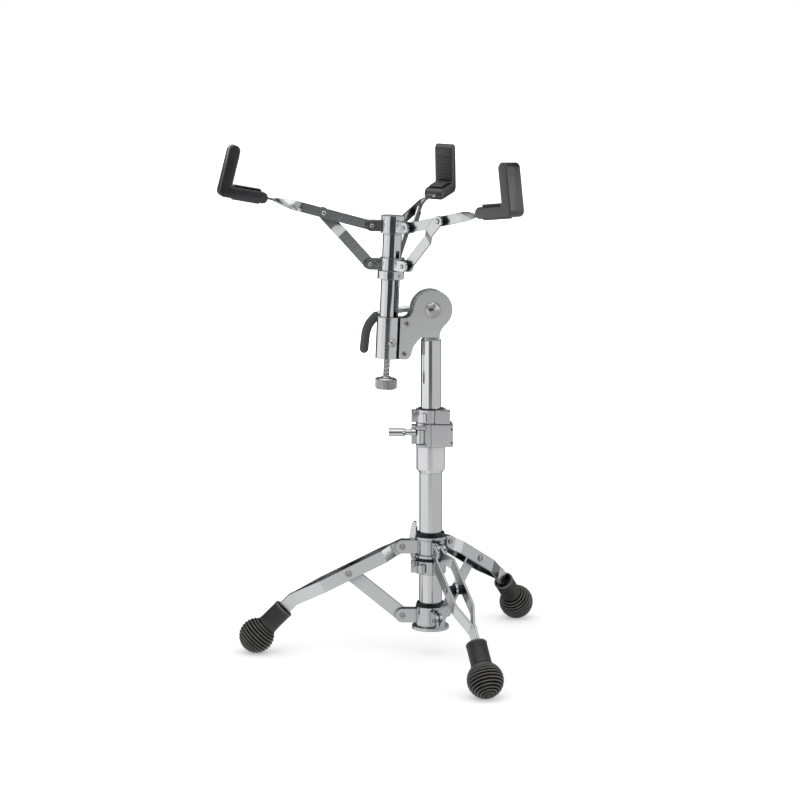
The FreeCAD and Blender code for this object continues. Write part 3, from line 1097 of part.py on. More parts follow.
doc.recompute()
os.makedirs("parts", exist_ok=True)
for label, item in nodes.items():
    shape = item.Shape
    if "Invalid" in item.State or "Error" in item.State or shape.isNull() or not shape.isValid():
        raise RuntimeError("%s has no sound shape" % label)
    solids = shape.Solids
    if not solids:
        raise RuntimeError("%s has no solid" % label)
    whole = solids[0] if len(solids) == 1 else Part.makeCompound(solids)
    whole.exportStep(os.path.join("parts", label + ".step"))
    print("%s: %d solid, %.1f mm3" % (label, len(solids), whole.Volume))
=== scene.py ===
import json
import math

import bmesh
import bpy
from bpy.props import FloatProperty, FloatVectorProperty, IntProperty, PointerProperty
from mathutils import Matrix, Vector


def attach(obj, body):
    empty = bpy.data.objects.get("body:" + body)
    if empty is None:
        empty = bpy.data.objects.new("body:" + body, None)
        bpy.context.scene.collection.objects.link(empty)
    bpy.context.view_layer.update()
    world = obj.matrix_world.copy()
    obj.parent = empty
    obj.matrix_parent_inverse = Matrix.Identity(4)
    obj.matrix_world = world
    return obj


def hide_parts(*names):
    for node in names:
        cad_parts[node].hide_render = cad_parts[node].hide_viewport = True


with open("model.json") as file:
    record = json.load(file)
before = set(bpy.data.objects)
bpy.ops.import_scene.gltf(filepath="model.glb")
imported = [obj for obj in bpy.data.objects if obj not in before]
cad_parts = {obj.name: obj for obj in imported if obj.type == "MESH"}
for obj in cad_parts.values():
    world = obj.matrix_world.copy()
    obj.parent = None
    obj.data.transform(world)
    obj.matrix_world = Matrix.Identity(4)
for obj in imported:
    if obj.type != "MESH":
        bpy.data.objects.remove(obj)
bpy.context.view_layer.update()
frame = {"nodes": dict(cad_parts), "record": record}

bl_info = {
    "name": "Snare stand dressing",
    "version": (1, 0, 0),
    "blender": (4, 5, 0),
    "location": "View3D > Sidebar > Snare stand",
    "description": "Dresses a folding snare drum stand with its rubber, thread, knurl and chrome",
    "category": "Object",
}

MM = 0.001
LEG_AZIMUTH = {"a": 167.6, "b": 46.5, "c": 275.1}
ARM_AZIMUTH = {"a": 180.0, "b": 300.0, "c": 60.0}


def metres(label, note, value):
    return FloatProperty(name=label, description=note, default=value, unit="LENGTH", precision=5)


def degrees(label, note, value):
    return FloatProperty(name=label, description=note, default=math.radians(value), subtype="ANGLE")


def colour(label, note, value):
    return FloatVectorProperty(name=label, description=note, default=value, subtype="COLOR", min=0.0, max=1.0)


class StandLayout(bpy.types.PropertyGroup):
    """Places of the joints that the dressed pieces are drawn about."""
    hub_radius: metres("Hub pivot radius", "Leg pivot from the column axis", 35.1 * MM)
    hub_height: metres("Hub pivot height", "Leg pivot above the floor", 137.18 * MM)
    leg_slope: degrees("Leg slope", "Fall of the leg below level", 26.84)
    leg_bend: metres("Leg bend", "From the leg pivot to its bend", 153.4 * MM)
    foot_bend: degrees("Foot bend", "Extra fall of the foot end", 18.56)
    tilt_height: metres("Tilt height", "Tilting pivot above the floor", 434 * MM)
    tilt_rest: degrees("Tilt", "Lean of the basket as photographed", 2.57)
    basket_offset: metres("Basket offset", "Basket axis from the tilting pivot", 52.3 * MM)
    lower_height: metres("Lower pivot height", "Strut pivot above the floor", 49.2 * MM)
    lower_side: metres("Lower ear", "Outer face of the lower hub's ears from their middle", 5.8 * MM)
    hub_side: metres("Hub rivet", "Foot of the leg pivot's heads from their middle", 7.4 * MM)
    leg_middle: metres("Leg middle", "From the leg pivot to the leg's middle bolt", 74.64 * MM)
    leg_side: metres("Leg side", "Outer face of the leg's strips from their middle", 12.3 * MM)


class RubberSizes(bpy.types.PropertyGroup):
    """Sizes of the moulded rubber pieces."""
    pad_thickness: metres("Pad thickness", "Thickness of both limbs", 14 * MM)
    pad_width: metres("Pad width", "Width along the drum's rim", 24 * MM)
    pad_radius: metres("Pad radius", "Pad corner from the basket axis", 208.5 * MM)
    pad_height: metres("Pad height", "Pad corner above the tilting pivot", 137.5 * MM)
    pad_limb: metres("Pad limb", "Length of the lower limb", 46 * MM)
    pad_upright: metres("Pad upright", "Length of the upright limb", 49.5 * MM)
    pad_limb_angle: degrees("Limb angle", "Rise of the lower limb", 8)
    pad_lean: degrees("Lean", "Inward lean of the upright", 12)
    pad_edge: metres("Pad edge", "Rounding of the moulded edges", 1.8 * MM)
    pad_fillet: metres("Pad fillet", "Rounding of the inner corner", 2.2 * MM)
    rib_count: IntProperty(name="Ribs", description="Ribs on the gripping face", default=11, min=2)
    rib_pitch: metres("Rib pitch", "Spacing of the ribs", 3.2 * MM)
    rib_radius: metres("Rib radius", "Half the width of a rib", 1.15 * MM)
    rib_start: metres("Rib start", "From the pad's corner to the first rib", 12 * MM)
    tread_count: IntProperty(name="Treads", description="Ribs across the lower limb", default=11, min=2)
    tread_pitch: metres("Tread pitch", "Spacing of the treads", 3.0 * MM)
    tread_radius: metres("Tread radius", "Half the width of a tread", 1.7 * MM)
    seat_start: metres("Seat start", "From the pad's corner to its seat", 12 * MM)
    seat_end: metres("Seat end", "From the pad's corner to the seat's far end", 42 * MM)
    seat_rise: metres("Seat rise", "Height of the seat over the limb", 2.4 * MM)
    foot_ball: metres("Foot ball", "Radius of the ball foot", 22.1 * MM)
    foot_reach: metres("Foot reach", "From the leg's bend to the ball's centre", 64.85 * MM)
    foot_sleeve: metres("Foot sleeve", "Radius of the foot's sleeve", 12.75 * MM)
    foot_start: metres("Sleeve start", "From the leg's bend to the sleeve's mouth", 15 * MM)
    foot_rings: IntProperty(name="Rings", description="Raised rings on the ball", default=13, min=3)
    ring_depth: metres("Ring depth", "Depth of the grooves between rings", 2.9 * MM)
    grip_radius: metres("Grip radius", "Radius of the dipped grip", 5.5 * MM)
    grip_reach: metres("Grip reach", "From the tilting pivot to the lever's bend", 47.9 * MM)
    grip_side: metres("Grip side", "Behind the tilter's middle", 20 * MM)
    grip_dip: degrees("Grip dip", "Fall of the lever below level", 7)
    grip_bend: metres("Grip bend", "Radius of the lever's bend", 33 * MM)
    grip_start: degrees("Grip start", "Where on the bend the grip begins", 25)
    grip_sweep: degrees("Grip sweep", "Where on the bend its straight end begins", 79)
    grip_fall: metres("Grip fall", "Straight end of the grip", 17 * MM)
    rubber: colour("Rubber", "Colour of the pads", (0.011, 0.0100, 0.0118))
    grip_rubber: colour("Grip rubber", "Colour of the lever's grip", (0.07, 0.075, 0.077))
    foot_rubber: colour("Foot rubber", "Colour of the feet", (0.020, 0.0195, 0.0188))


class ScrewSizes(bpy.types.PropertyGroup):
    """Sizes of the adjusting screw, its knob and the rivet heads."""
    rod_radius: metres("Rod radius", "Outside of the thread", 4 * MM)
    pitch: metres("Pitch", "Thread pitch", 1.25 * MM)
    thread_depth: metres("Thread depth", "From the thread's crest to its root", 0.62 * MM)
    rod_low: metres("Rod low end", "Below the tilting pivot", -92 * MM)
    rod_high: metres("Rod high end", "Above the tilting pivot", 38.4 * MM)
    knob_radius: metres("Knob radius", "Outside of the knurl", 13.6 * MM)
    knob_top: metres("Knob top", "Level of the knob's upper face", -86 * MM)
    knob_height: metres("Knob height", "Height of the knob", 14 * MM)
    knurl_count: IntProperty(name="Knurls", description="Ridges around the knob", default=52, min=8)
    bolt_head: metres("Bolt head", "Radius of the heads in the middle of the legs", 3.9 * MM)
    bolt_rise: metres("Bolt rise", "Height of those heads", 2.5 * MM)
    rivet_head: metres("Rivet head", "Radius of the heads on both hubs", 3.3 * MM)
    rivet_rise: metres("Rivet rise", "Height of those heads", 2.2 * MM)


class FinishColours(bpy.types.PropertyGroup):
    """Colours of the metal and nylon."""
    chrome: colour("Chrome", "Bright plating", (0.80, 0.81, 0.83))
    hub: colour("Hub", "Plated hubs and lower lock", (0.66, 0.665, 0.68))
    strip: colour("Strip", "Plated flat strip", (0.76, 0.77, 0.785))
    plate: colour("Plate", "Satin plated tilter plates", (0.92, 0.93, 0.935))
    clamp: colour("Clamp", "Plated clamp castings", (0.87, 0.87, 0.88))
    nickel: colour("Nickel", "Rivets and screws", (0.58, 0.56, 0.54))
    satin: colour("Satin steel", "Knob and rod", (0.78, 0.78, 0.77))
    nylon: colour("Nylon", "Bushes and spacers", (0.006, 0.006, 0.0065))


def turn(angle, axis):
    return Matrix.Rotation(angle, 4, axis)


def shift(x, y, z):
    return Matrix.Translation((x, y, z))


def leg_place(leg):
    """The leg's pivot on the hub, with X along the leg."""
    s = bpy.context.scene.stand_layout
    return (turn(math.radians(LEG_AZIMUTH[leg]), "Z") @ shift(s.hub_radius, 0, s.hub_height)
            @ turn(s.leg_slope, "Y"))


def foot_place(leg):
    """The leg's bend, with X along the foot."""
    s = bpy.context.scene.stand_layout
    return leg_place(leg) @ shift(s.leg_bend, 0, 0) @ turn(s.foot_bend, "Y")


def basket_place():
    """The tilting pivot, leaning with the basket."""
    s = bpy.context.scene.stand_layout
    return shift(0, 0, s.tilt_height) @ turn(s.tilt_rest, "Y")


def axis_place():
    """The point of the basket's axis level with the tilting pivot."""
    s = bpy.context.scene.stand_layout
    return basket_place() @ shift(-s.basket_offset, 0, 0)


def arm_place(arm):
    """The same point, with X along the arm."""
    return axis_place() @ turn(math.radians(ARM_AZIMUTH[arm]), "Z")


# Materials

def maths(nodes, operation, second=None, third=None):
    """Math node, with its later operands set where they are constant."""
    node = nodes.new("ShaderNodeMath")
    node.operation = operation
    for place, value in ((1, second), (2, third)):
        if value is not None:
            node.inputs[place].default_value = value
    return node


def effect(nodes, name, **values):
    """One of the shared shader groups, placed with its own values."""
    node = nodes.new("ShaderNodeGroup")
    node.node_tree = bpy.data.node_groups[name]
    for label, value in values.items():
        node.inputs[label].default_value = value
    return node


def shader_group(name, inputs, outputs):
    """New shader group with number inputs, given as (label, default), and number outputs."""
    group = bpy.data.node_groups.new(name, "ShaderNodeTree")
    for label, default in inputs:
        socket = group.interface.new_socket(label, in_out="INPUT", socket_type="NodeSocketFloat")
        socket.default_value = default
    for label in outputs:
        group.interface.new_socket(label, in_out="OUTPUT", socket_type="NodeSocketFloat")
    return group, group.nodes.new("NodeGroupInput"), group.nodes.new("NodeGroupOutput")


def handling_group():
    """Uneven polish: broad clouding and fine wipe marks, as one roughness value."""
    group, enter, leave = shader_group(
        "handling", [("Base", 0.08), ("Spread", 0.05), ("Scale", 14.0)], ["Roughness"])
    place = group.nodes.new("ShaderNodeTexCoord")
    broad = group.nodes.new("ShaderNodeTexNoise")
    broad.inputs["Detail"].default_value = 4.0
    fine = group.nodes.new("ShaderNodeTexNoise")
    fine.inputs["Scale"].default_value = 260.0
    blend = maths(group.nodes, "MULTIPLY")
    scale = maths(group.nodes, "MULTIPLY_ADD")
    link = group.links.new
    link(place.outputs["Object"], broad.inputs["Vector"])
    link(place.outputs["Object"], fine.inputs["Vector"])
    link(enter.outputs["Scale"], broad.inputs["Scale"])
    link(broad.outputs["Fac"], blend.inputs[0])
    link(fine.outputs["Fac"], blend.inputs[1])
    link(blend.outputs[0], scale.inputs[0])
    link(enter.outputs["Spread"], scale.inputs[1])
    link(enter.outputs["Base"], scale.inputs[2])
    link(scale.outputs[0], leave.inputs["Roughness"])


def grain_group():
    """Moulded grain: fine pebbling with a little slow waviness, as a height and a mask of the waves."""
    group, enter, leave = shader_group("grain", [("Scale", 1800.0), ("Wave", 0.25)], ["Height", "Mask"])
    place = group.nodes.new("ShaderNodeTexCoord")
    pebble = group.nodes.new("ShaderNodeTexNoise")
    pebble.inputs["Detail"].default_value = 2.0
    wave = group.nodes.new("ShaderNodeTexNoise")
    wave.inputs["Scale"].default_value = 90.0
    join = maths(group.nodes, "MULTIPLY_ADD")
    link = group.links.new
    link(place.outputs["Object"], pebble.inputs["Vector"])
    link(place.outputs["Object"], wave.inputs["Vector"])
    link(enter.outputs["Scale"], pebble.inputs["Scale"])
    link(wave.outputs["Fac"], join.inputs[0])
    link(enter.outputs["Wave"], join.inputs[1])
    link(pebble.outputs["Fac"], join.inputs[2])
    link(join.outputs[0], leave.inputs["Height"])
    link(wave.outputs["Fac"], leave.inputs["Mask"])


def crevice_group():
    """Shade that gathers in corners and around heads, as one factor on the colour."""
    group, enter, leave = shader_group("crevice", [("Reach", 0.003), ("Deep", 0.2)], ["Factor"])
    corner = group.nodes.new("ShaderNodeAmbientOcclusion")
    corner.samples = 8
    spread = group.nodes.new("ShaderNodeMapRange")
    spread.inputs["From Min"].default_value = 0.3
    spread.inputs["From Max"].default_value = 0.9
    link = group.links.new
    link(enter.outputs["Reach"], corner.inputs["Distance"])
    link(corner.outputs["AO"], spread.inputs["Value"])
    link(enter.outputs["Deep"], spread.inputs["To Min"])
    link(spread.outputs["Result"], leave.inputs["Factor"])


def rim_group():
    """Sharp edges of plated metal, for the painted shade along them: one on the edge, fading out over the
    given width.
    """
    group, enter, leave = shader_group("rim", [("Width", 1.5 * MM)], ["Mask"])
    rounded = group.nodes.new("ShaderNodeBevel")
    rounded.samples = 8
    surface = group.nodes.new("ShaderNodeNewGeometry")
    match = group.nodes.new("ShaderNodeVectorMath")
    match.operation = "DOT_PRODUCT"
    fade = group.nodes.new("ShaderNodeMapRange")
    fade.inputs["From Min"].default_value = 0.98
    fade.inputs["From Max"].default_value = 0.74
    link = group.links.new
    link(enter.outputs["Width"], rounded.inputs["Radius"])
    link(rounded.outputs["Normal"], match.inputs[0])
    link(surface.outputs["Normal"], match.inputs[1])
    link(match.outputs["Value"], fade.inputs["Value"])
    link(fade.outputs["Result"], leave.inputs["Mask"])


def crest_highlight_group():
    """Convex ridges and rounded edges, for the painted highlight along them: one where the surface is most
    convex.
    """
    group, enter, leave = shader_group("crest_highlight", [("Crest", 0.545)], ["Mask"])
    surface = group.nodes.new("ShaderNodeNewGeometry")
    spread = group.nodes.new("ShaderNodeMapRange")
    spread.inputs["From Min"].default_value = 0.505
    link = group.links.new
    link(surface.outputs["Pointiness"], spread.inputs["Value"])
    link(enter.outputs["Crest"], spread.inputs["From Max"])
    link(spread.outputs["Result"], leave.inputs["Mask"])


def shaded(nodes, link, shader, reach, deep, edges, change):
    """Paint shade into the base colour in corners and change it along edges: painted shade on metal, a
    painted highlight on mouldings. The socket that takes the plain colour comes back.
    """
    corners = effect(nodes, "crevice", Reach=reach, Deep=deep)
    mask = effect(nodes, edges)
    along = maths(nodes, "MULTIPLY_ADD", change, 1.0)
    both = maths(nodes, "MULTIPLY")
    scale = nodes.new("ShaderNodeVectorMath")
    scale.operation = "SCALE"
    link(mask.outputs["Mask"], along.inputs[0])
    link(along.outputs[0], both.inputs[0])
    link(corners.outputs["Factor"], both.inputs[1])
    link(both.outputs[0], scale.inputs["Scale"])
    link(scale.outputs["Vector"], shader.inputs["Base Color"])
    return scale.inputs["Vector"]


def new_material(name):
    """New material, with its nodes, its link function and its shader."""
    material = bpy.data.materials.new(name)
    material.use_nodes = True
    nodes = material.node_tree.nodes
    return material, nodes, material.node_tree.links.new, nodes["Principled BSDF"]


def metal(name, tint, base, spread, scale, edge, peel=0.0, metallic=1.0, reach=3.5 * MM, rim=-0.8):
    """Plated or bare metal with handling marks, rolled edges with painted shade along them, and an optional
    cast skin.

    base, spread and scale: roughness, its unevenness and how fine that is
    edge: radius of the rolled edges
    peel: strength of the cast skin
    reach: how far the shade in corners spreads
    rim: change of the colour along sharp edges; below zero it paints shade there
    """
    nodes, link, shader = new_material(name)[1:]
    # Painted shade in corners, and painted shade along sharp edges where rim is below zero
    shaded(nodes, link, shader, reach, 0.18, "rim", rim).default_value = tint
    shader.inputs["Metallic"].default_value = metallic
    marks = effect(nodes, "handling", Base=base, Spread=spread, Scale=scale)
    link(marks.outputs["Roughness"], shader.inputs["Roughness"])
    rolled = nodes.new("ShaderNodeBevel")
    rolled.samples = 6
    rolled.inputs["Radius"].default_value = edge
    surface = rolled
    if peel:
        grain = effect(nodes, "grain", Scale=420.0, Wave=1.2)
        surface = nodes.new("ShaderNodeBump")
        surface.inputs["Strength"].default_value = peel
        surface.inputs["Distance"].default_value = 0.3 * MM
        link(grain.outputs["Height"], surface.inputs["Height"])
        link(rolled.outputs["Normal"], surface.inputs["Normal"])
    link(surface.outputs["Normal"], shader.inputs["Normal"])


def moulding(name, tint, base, pebble, strength, lift, sheen, painted_highlight=0.0, gloss=0.0):
    """Rubber or nylon: deep colour with a moulded grain, a painted highlight along convex ridges and edges,
    and an optional gloss.

    base: roughness
    pebble and strength: fineness and depth of the grain
    lift: how much lighter the slow waves of the grain get
    sheen: level of the plain reflection
    rub: change of the colour along convex ridges and edges, a painted highlight
    gloss: share of the clear skin over the moulding
    """
    nodes, link, shader = new_material(name)[1:]
    shader.inputs["Specular IOR Level"].default_value = sheen
    shader.inputs["Coat Weight"].default_value = gloss
    shader.inputs["Coat Roughness"].default_value = 0.1
    grain = effect(nodes, "grain", Scale=pebble)
    shade = nodes.new("ShaderNodeValToRGB")
    for stop, place, level in zip(shade.color_ramp.elements, (0.35, 0.75), (1.0, lift)):
        stop.position = place
        stop.color = (*[c * level for c in tint], 1.0)
    link(grain.outputs["Mask"], shade.inputs["Fac"])
    # The edge mask lightens the colour along convex ridges and edges: a painted highlight
    link(shade.outputs["Color"], shaded(nodes, link, shader, 3 * MM, 0.06, "crest_highlight", painted_highlight))
    marks = effect(nodes, "handling", Base=base, Spread=0.22, Scale=40.0)
    link(marks.outputs["Roughness"], shader.inputs["Roughness"])
    bump = nodes.new("ShaderNodeBump")
    bump.inputs["Strength"].default_value = strength
    bump.inputs["Distance"].default_value = 0.2 * MM
    link(grain.outputs["Height"], bump.inputs["Height"])
    link(bump.outputs["Normal"], shader.inputs["Normal"])


def finish_of(name):
    return bpy.data.materials[name]


# Mesh helpers

def link_object(name, mesh):
    """New object of the mesh in the scene."""
    item = bpy.data.objects.new(name, mesh)
    bpy.context.scene.collection.objects.link(item)
    return item


def settled(item):
    """The object's evaluated mesh, with the object itself taken away."""
    graph = bpy.context.evaluated_depsgraph_get()
    mesh = bpy.data.meshes.new_from_object(item.evaluated_get(graph), depsgraph=graph)
    old = item.data
    item.modifiers.clear()
    bpy.data.objects.remove(item)
    if old.users == 0 and isinstance(old, bpy.types.Mesh):
        bpy.data.meshes.remove(old)
    return mesh


def joined(meshes):
    """One mesh from several, which is the first of them with the others taken in."""
    whole = bmesh.new()
    for mesh in meshes:
        whole.from_mesh(mesh)
    for mesh in meshes[1:]:
        bpy.data.meshes.remove(mesh)
    whole.to_mesh(meshes[0])
    whole.free()
    return meshes[0]


def smooth_by_angle(mesh, limit):
    """Smooth shading with creases kept where faces meet at more than the limit, in degrees."""
    limit = math.radians(limit)
    work = bmesh.new()
    work.from_mesh(mesh)
    for face in work.faces:
        face.smooth = True
    for edge in work.edges:
        edge.smooth = len(edge.link_faces) != 2 or edge.calc_face_angle(0.0) < limit
    work.to_mesh(mesh)
    work.free()
    return mesh


def piece(name, mesh, material, body, stands_for=()):
    """Finished piece that rides on a body, in place of the nodes that it stands for."""
    mesh.materials.clear()
    mesh.materials.append(finish_of(material))
    item = link_object(name, mesh)
    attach(item, body)
    if stands_for:
        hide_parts(*stands_for)


def prism(points, width, edge):
    """Outline in XZ pushed out to both sides of Y, with its rims rounded over."""
    work = bmesh.new()
    ring = [work.verts.new((x, -width / 2, z)) for x, z in points]
    face = work.faces.new(ring)
    made = bmesh.ops.extrude_face_region(work, geom=[face])
    far = [v for v in made["geom"] if isinstance(v, bmesh.types.BMVert)]
    bmesh.ops.translate(work, verts=far, vec=(0, width, 0))
    bmesh.ops.recalc_face_normals(work, faces=work.faces)
    mesh = bpy.data.meshes.new("prism")
    work.to_mesh(mesh)
    work.free()
    item = link_object("prism", mesh)
    rim = item.modifiers.new("rim", "BEVEL")
    rim.width = edge
    rim.segments = 4
    rim.limit_method = "ANGLE"
    rim.angle_limit = math.radians(50)
    return settled(item)


def lathe(profile, segments):
    """Profile of (along X, radius) pairs turned about X. Ends on the axis are closed to a point."""
    work = bmesh.new()
    around = [math.tau * i / segments for i in range(segments)]
    rings = []
    for along, radius in profile:
        if radius < 1e-6:
            rings.append([work.verts.new((along, 0, 0))])
            continue
        rings.append([work.verts.new((along, radius * math.cos(a), radius * math.sin(a))) for a in around])
    for low, high in zip(rings, rings[1:]):
        for i in range(segments):
            j = (i + 1) % segments
            corners = [low[i % len(low)], low[j % len(low)], high[j % len(high)], high[i % len(high)]]
            distinct = list(dict.fromkeys(corners))
            if len(distinct) > 2:
                work.faces.new(distinct)
    bmesh.ops.recalc_face_normals(work, faces=work.faces)
    mesh = bpy.data.meshes.new("lathe")
    work.to_mesh(mesh)
    work.free()
    return mesh


def arc(centre, radius, start, end, steps):
    """Points along an arc, with angles in degrees from +X towards +Z."""
    angles = [math.radians(start + (end - start) * i / steps) for i in range(steps + 1)]
    return [(centre[0] + radius * math.cos(a), centre[1] + radius * math.sin(a)) for a in angles]


# Geometry node trees

def node_tree(name, inputs):
    """New geometry tree with named inputs, given as (label, socket type)."""
    group = bpy.data.node_groups.new(name, "GeometryNodeTree")
    for label, kind in inputs:
        group.interface.new_socket(label, in_out="INPUT", socket_type=kind)
    group.interface.new_socket("Geometry", in_out="OUTPUT", socket_type="NodeSocketGeometry")
    return group, group.nodes.new("NodeGroupInput"), group.nodes.new("NodeGroupOutput")


def close_tree(group, leave, socket, material):
    """End of a tree: real geometry in one material."""
    realize = group.nodes.new("GeometryNodeRealizeInstances")
    paint = group.nodes.new("GeometryNodeSetMaterial")
    paint.inputs["Material"].default_value = finish_of(material)
    group.links.new(socket, realize.inputs["Geometry"])
    group.links.new(realize.outputs["Geometry"], paint.inputs["Geometry"])
    group.links.new(paint.outputs["Geometry"], leave.inputs["Geometry"])
    return group


def grown(group, values):
    """Mesh that a tree makes from its named values."""
    item = link_object("grown", bpy.data.meshes.new("grown"))
    modifier = item.modifiers.new("grown", "NODES")
    modifier.node_group = group
    for socket in group.interface.items_tree:
        if socket.in_out == "INPUT" and socket.name in values:
            modifier[socket.identifier] = values[socket.name]
    return settled(item)


def rib_tree():
    """Row of round-topped ribs along Z, each lying along Y."""
    group, enter, leave = node_tree("rib_row", [
        ("Count", "NodeSocketInt"), ("Pitch", "NodeSocketFloat"), ("Length", "NodeSocketFloat"),
        ("Radius", "NodeSocketFloat")])
    n, link = group.nodes, group.links.new
    step = n.new("ShaderNodeCombineXYZ")
    line = n.new("GeometryNodeMeshLine")
    line.mode = "OFFSET"
    half = maths(n, "MULTIPLY", 0.5)
    low = maths(n, "MULTIPLY", -0.5)
    start = n.new("ShaderNodeCombineXYZ")
    end = n.new("ShaderNodeCombineXYZ")
    core = n.new("GeometryNodeCurvePrimitiveLine")
    ring = n.new("GeometryNodeCurvePrimitiveCircle")
    ring.inputs["Resolution"].default_value = 10
    tube = n.new("GeometryNodeCurveToMesh")
    tube.inputs["Fill Caps"].default_value = True
    spread = n.new("GeometryNodeInstanceOnPoints")
    link(enter.outputs["Count"], line.inputs["Count"])
    link(enter.outputs["Pitch"], step.inputs["Z"])
    link(step.outputs["Vector"], line.inputs["Offset"])
    link(enter.outputs["Length"], half.inputs[0])
    link(enter.outputs["Length"], low.inputs[0])
    link(half.outputs[0], end.inputs["Y"])
    link(low.outputs[0], start.inputs["Y"])
    link(start.outputs["Vector"], core.inputs["Start"])
    link(end.outputs["Vector"], core.inputs["End"])
    link(enter.outputs["Radius"], ring.inputs["Radius"])
    link(core.outputs["Curve"], tube.inputs["Curve"])
    link(ring.outputs["Curve"], tube.inputs["Profile Curve"])
    link(line.outputs["Mesh"], spread.inputs["Points"])
    link(tube.outputs["Mesh"], spread.inputs["Instance"])
    return close_tree(group, leave, spread.outputs["Instances"], "pad_rubber")


def thread_tree():
    """Screw thread about Z: a solid core with one ridge wound around it."""
    group, enter, leave = node_tree("thread", [
        ("Core", "NodeSocketFloat"), ("Ridge", "NodeSocketFloat"), ("Winding", "NodeSocketFloat"),
        ("Turns", "NodeSocketFloat"), ("Length", "NodeSocketFloat")])
    n, link = group.nodes, group.links.new
    spiral = n.new("GeometryNodeCurveSpiral")
    spiral.inputs["Resolution"].default_value = 22
    ridge = n.new("GeometryNodeCurvePrimitiveCircle")
    ridge.inputs["Resolution"].default_value = 4
    wound = n.new("GeometryNodeCurveToMesh")
    wound.inputs["Fill Caps"].default_value = True
    core = n.new("GeometryNodeMeshCylinder")
    core.inputs["Vertices"].default_value = 28
    lift = n.new("GeometryNodeTransform")
    half = maths(n, "MULTIPLY", 0.5)
    up = n.new("ShaderNodeCombineXYZ")
    both = n.new("GeometryNodeJoinGeometry")
    link(enter.outputs["Turns"], spiral.inputs["Rotations"])
    link(enter.outputs["Winding"], spiral.inputs["Start Radius"])
    link(enter.outputs["Winding"], spiral.inputs["End Radius"])
    link(enter.outputs["Length"], spiral.inputs["Height"])
    link(enter.outputs["Ridge"], ridge.inputs["Radius"])
    link(spiral.outputs["Curve"], wound.inputs["Curve"])
    link(ridge.outputs["Curve"], wound.inputs["Profile Curve"])
    link(enter.outputs["Core"], core.inputs["Radius"])
    link(enter.outputs["Length"], core.inputs["Depth"])
    link(enter.outputs["Length"], half.inputs[0])
    link(half.outputs[0], up.inputs["Z"])
    link(core.outputs["Mesh"], lift.inputs["Geometry"])
    link(up.outputs["Vector"], lift.inputs["Translation"])
    link(wound.outputs["Mesh"], both.inputs["Geometry"])
    link(lift.outputs["Geometry"], both.inputs["Geometry"])
    return close_tree(group, leave, both.outputs["Geometry"], "satin_steel")


def knurl_tree():
    """Ridges standing around a cylinder about Z."""
    group, enter, leave = node_tree("knurl", [
        ("Count", "NodeSocketInt"), ("Radius", "NodeSocketFloat"), ("Ridge", "NodeSocketFloat"),
        ("Height", "NodeSocketFloat")])
    n, link = group.nodes, group.links.new
    ring = n.new("GeometryNodeMeshCircle")
    ridge = n.new("GeometryNodeMeshCylinder")
    ridge.inputs["Vertices"].default_value = 6
    spread = n.new("GeometryNodeInstanceOnPoints")
    link(enter.outputs["Count"], ring.inputs["Vertices"])
    link(enter.outputs["Radius"], ring.inputs["Radius"])
    link(enter.outputs["Ridge"], ridge.inputs["Radius"])
    link(enter.outputs["Height"], ridge.inputs["Depth"])
    link(ring.outputs["Mesh"], spread.inputs["Points"])
    link(ridge.outputs["Mesh"], spread.inputs["Instance"])
    return close_tree(group, leave, spread.outputs["Instances"], "satin_steel")


def rivet_tree():
    """Two heads on a line along Y, facing away from each other."""
    group, enter, leave = node_tree("rivet_pair", [("Head", "NodeSocketObject"), ("Side", "NodeSocketFloat")])
    n, link = group.nodes, group.links.new
    head = n.new("GeometryNodeObjectInfo")
    low = maths(n, "MULTIPLY", -1.0)
    span = maths(n, "MULTIPLY", 2.0)
    start = n.new("ShaderNodeCombineXYZ")
    step = n.new("ShaderNodeCombineXYZ")
    line = n.new("GeometryNodeMeshLine")
    line.mode = "OFFSET"
    line.inputs["Count"].default_value = 2
    order = n.new("GeometryNodeInputIndex")
    angle = maths(n, "MULTIPLY_ADD", math.pi, -math.pi / 2)
    facing = n.new("ShaderNodeCombineXYZ")
    spread = n.new("GeometryNodeInstanceOnPoints")
    link(enter.outputs["Head"], head.inputs["Object"])
    link(enter.outputs["Side"], low.inputs[0])
    link(enter.outputs["Side"], span.inputs[0])
    link(low.outputs[0], start.inputs["Y"])
    link(span.outputs[0], step.inputs["Y"])
    link(start.outputs["Vector"], line.inputs["Start Location"])
    link(step.outputs["Vector"], line.inputs["Offset"])
    link(order.outputs["Index"], angle.inputs[0])
    link(angle.outputs[0], facing.inputs["Z"])
    link(line.outputs["Mesh"], spread.inputs["Points"])
    link(head.outputs["Geometry"], spread.inputs["Instance"])
    link(facing.outputs["Vector"], spread.inputs["Rotation"])
    return close_tree(group, leave, spread.outputs["Instances"], "nickel_screw")


# Operators

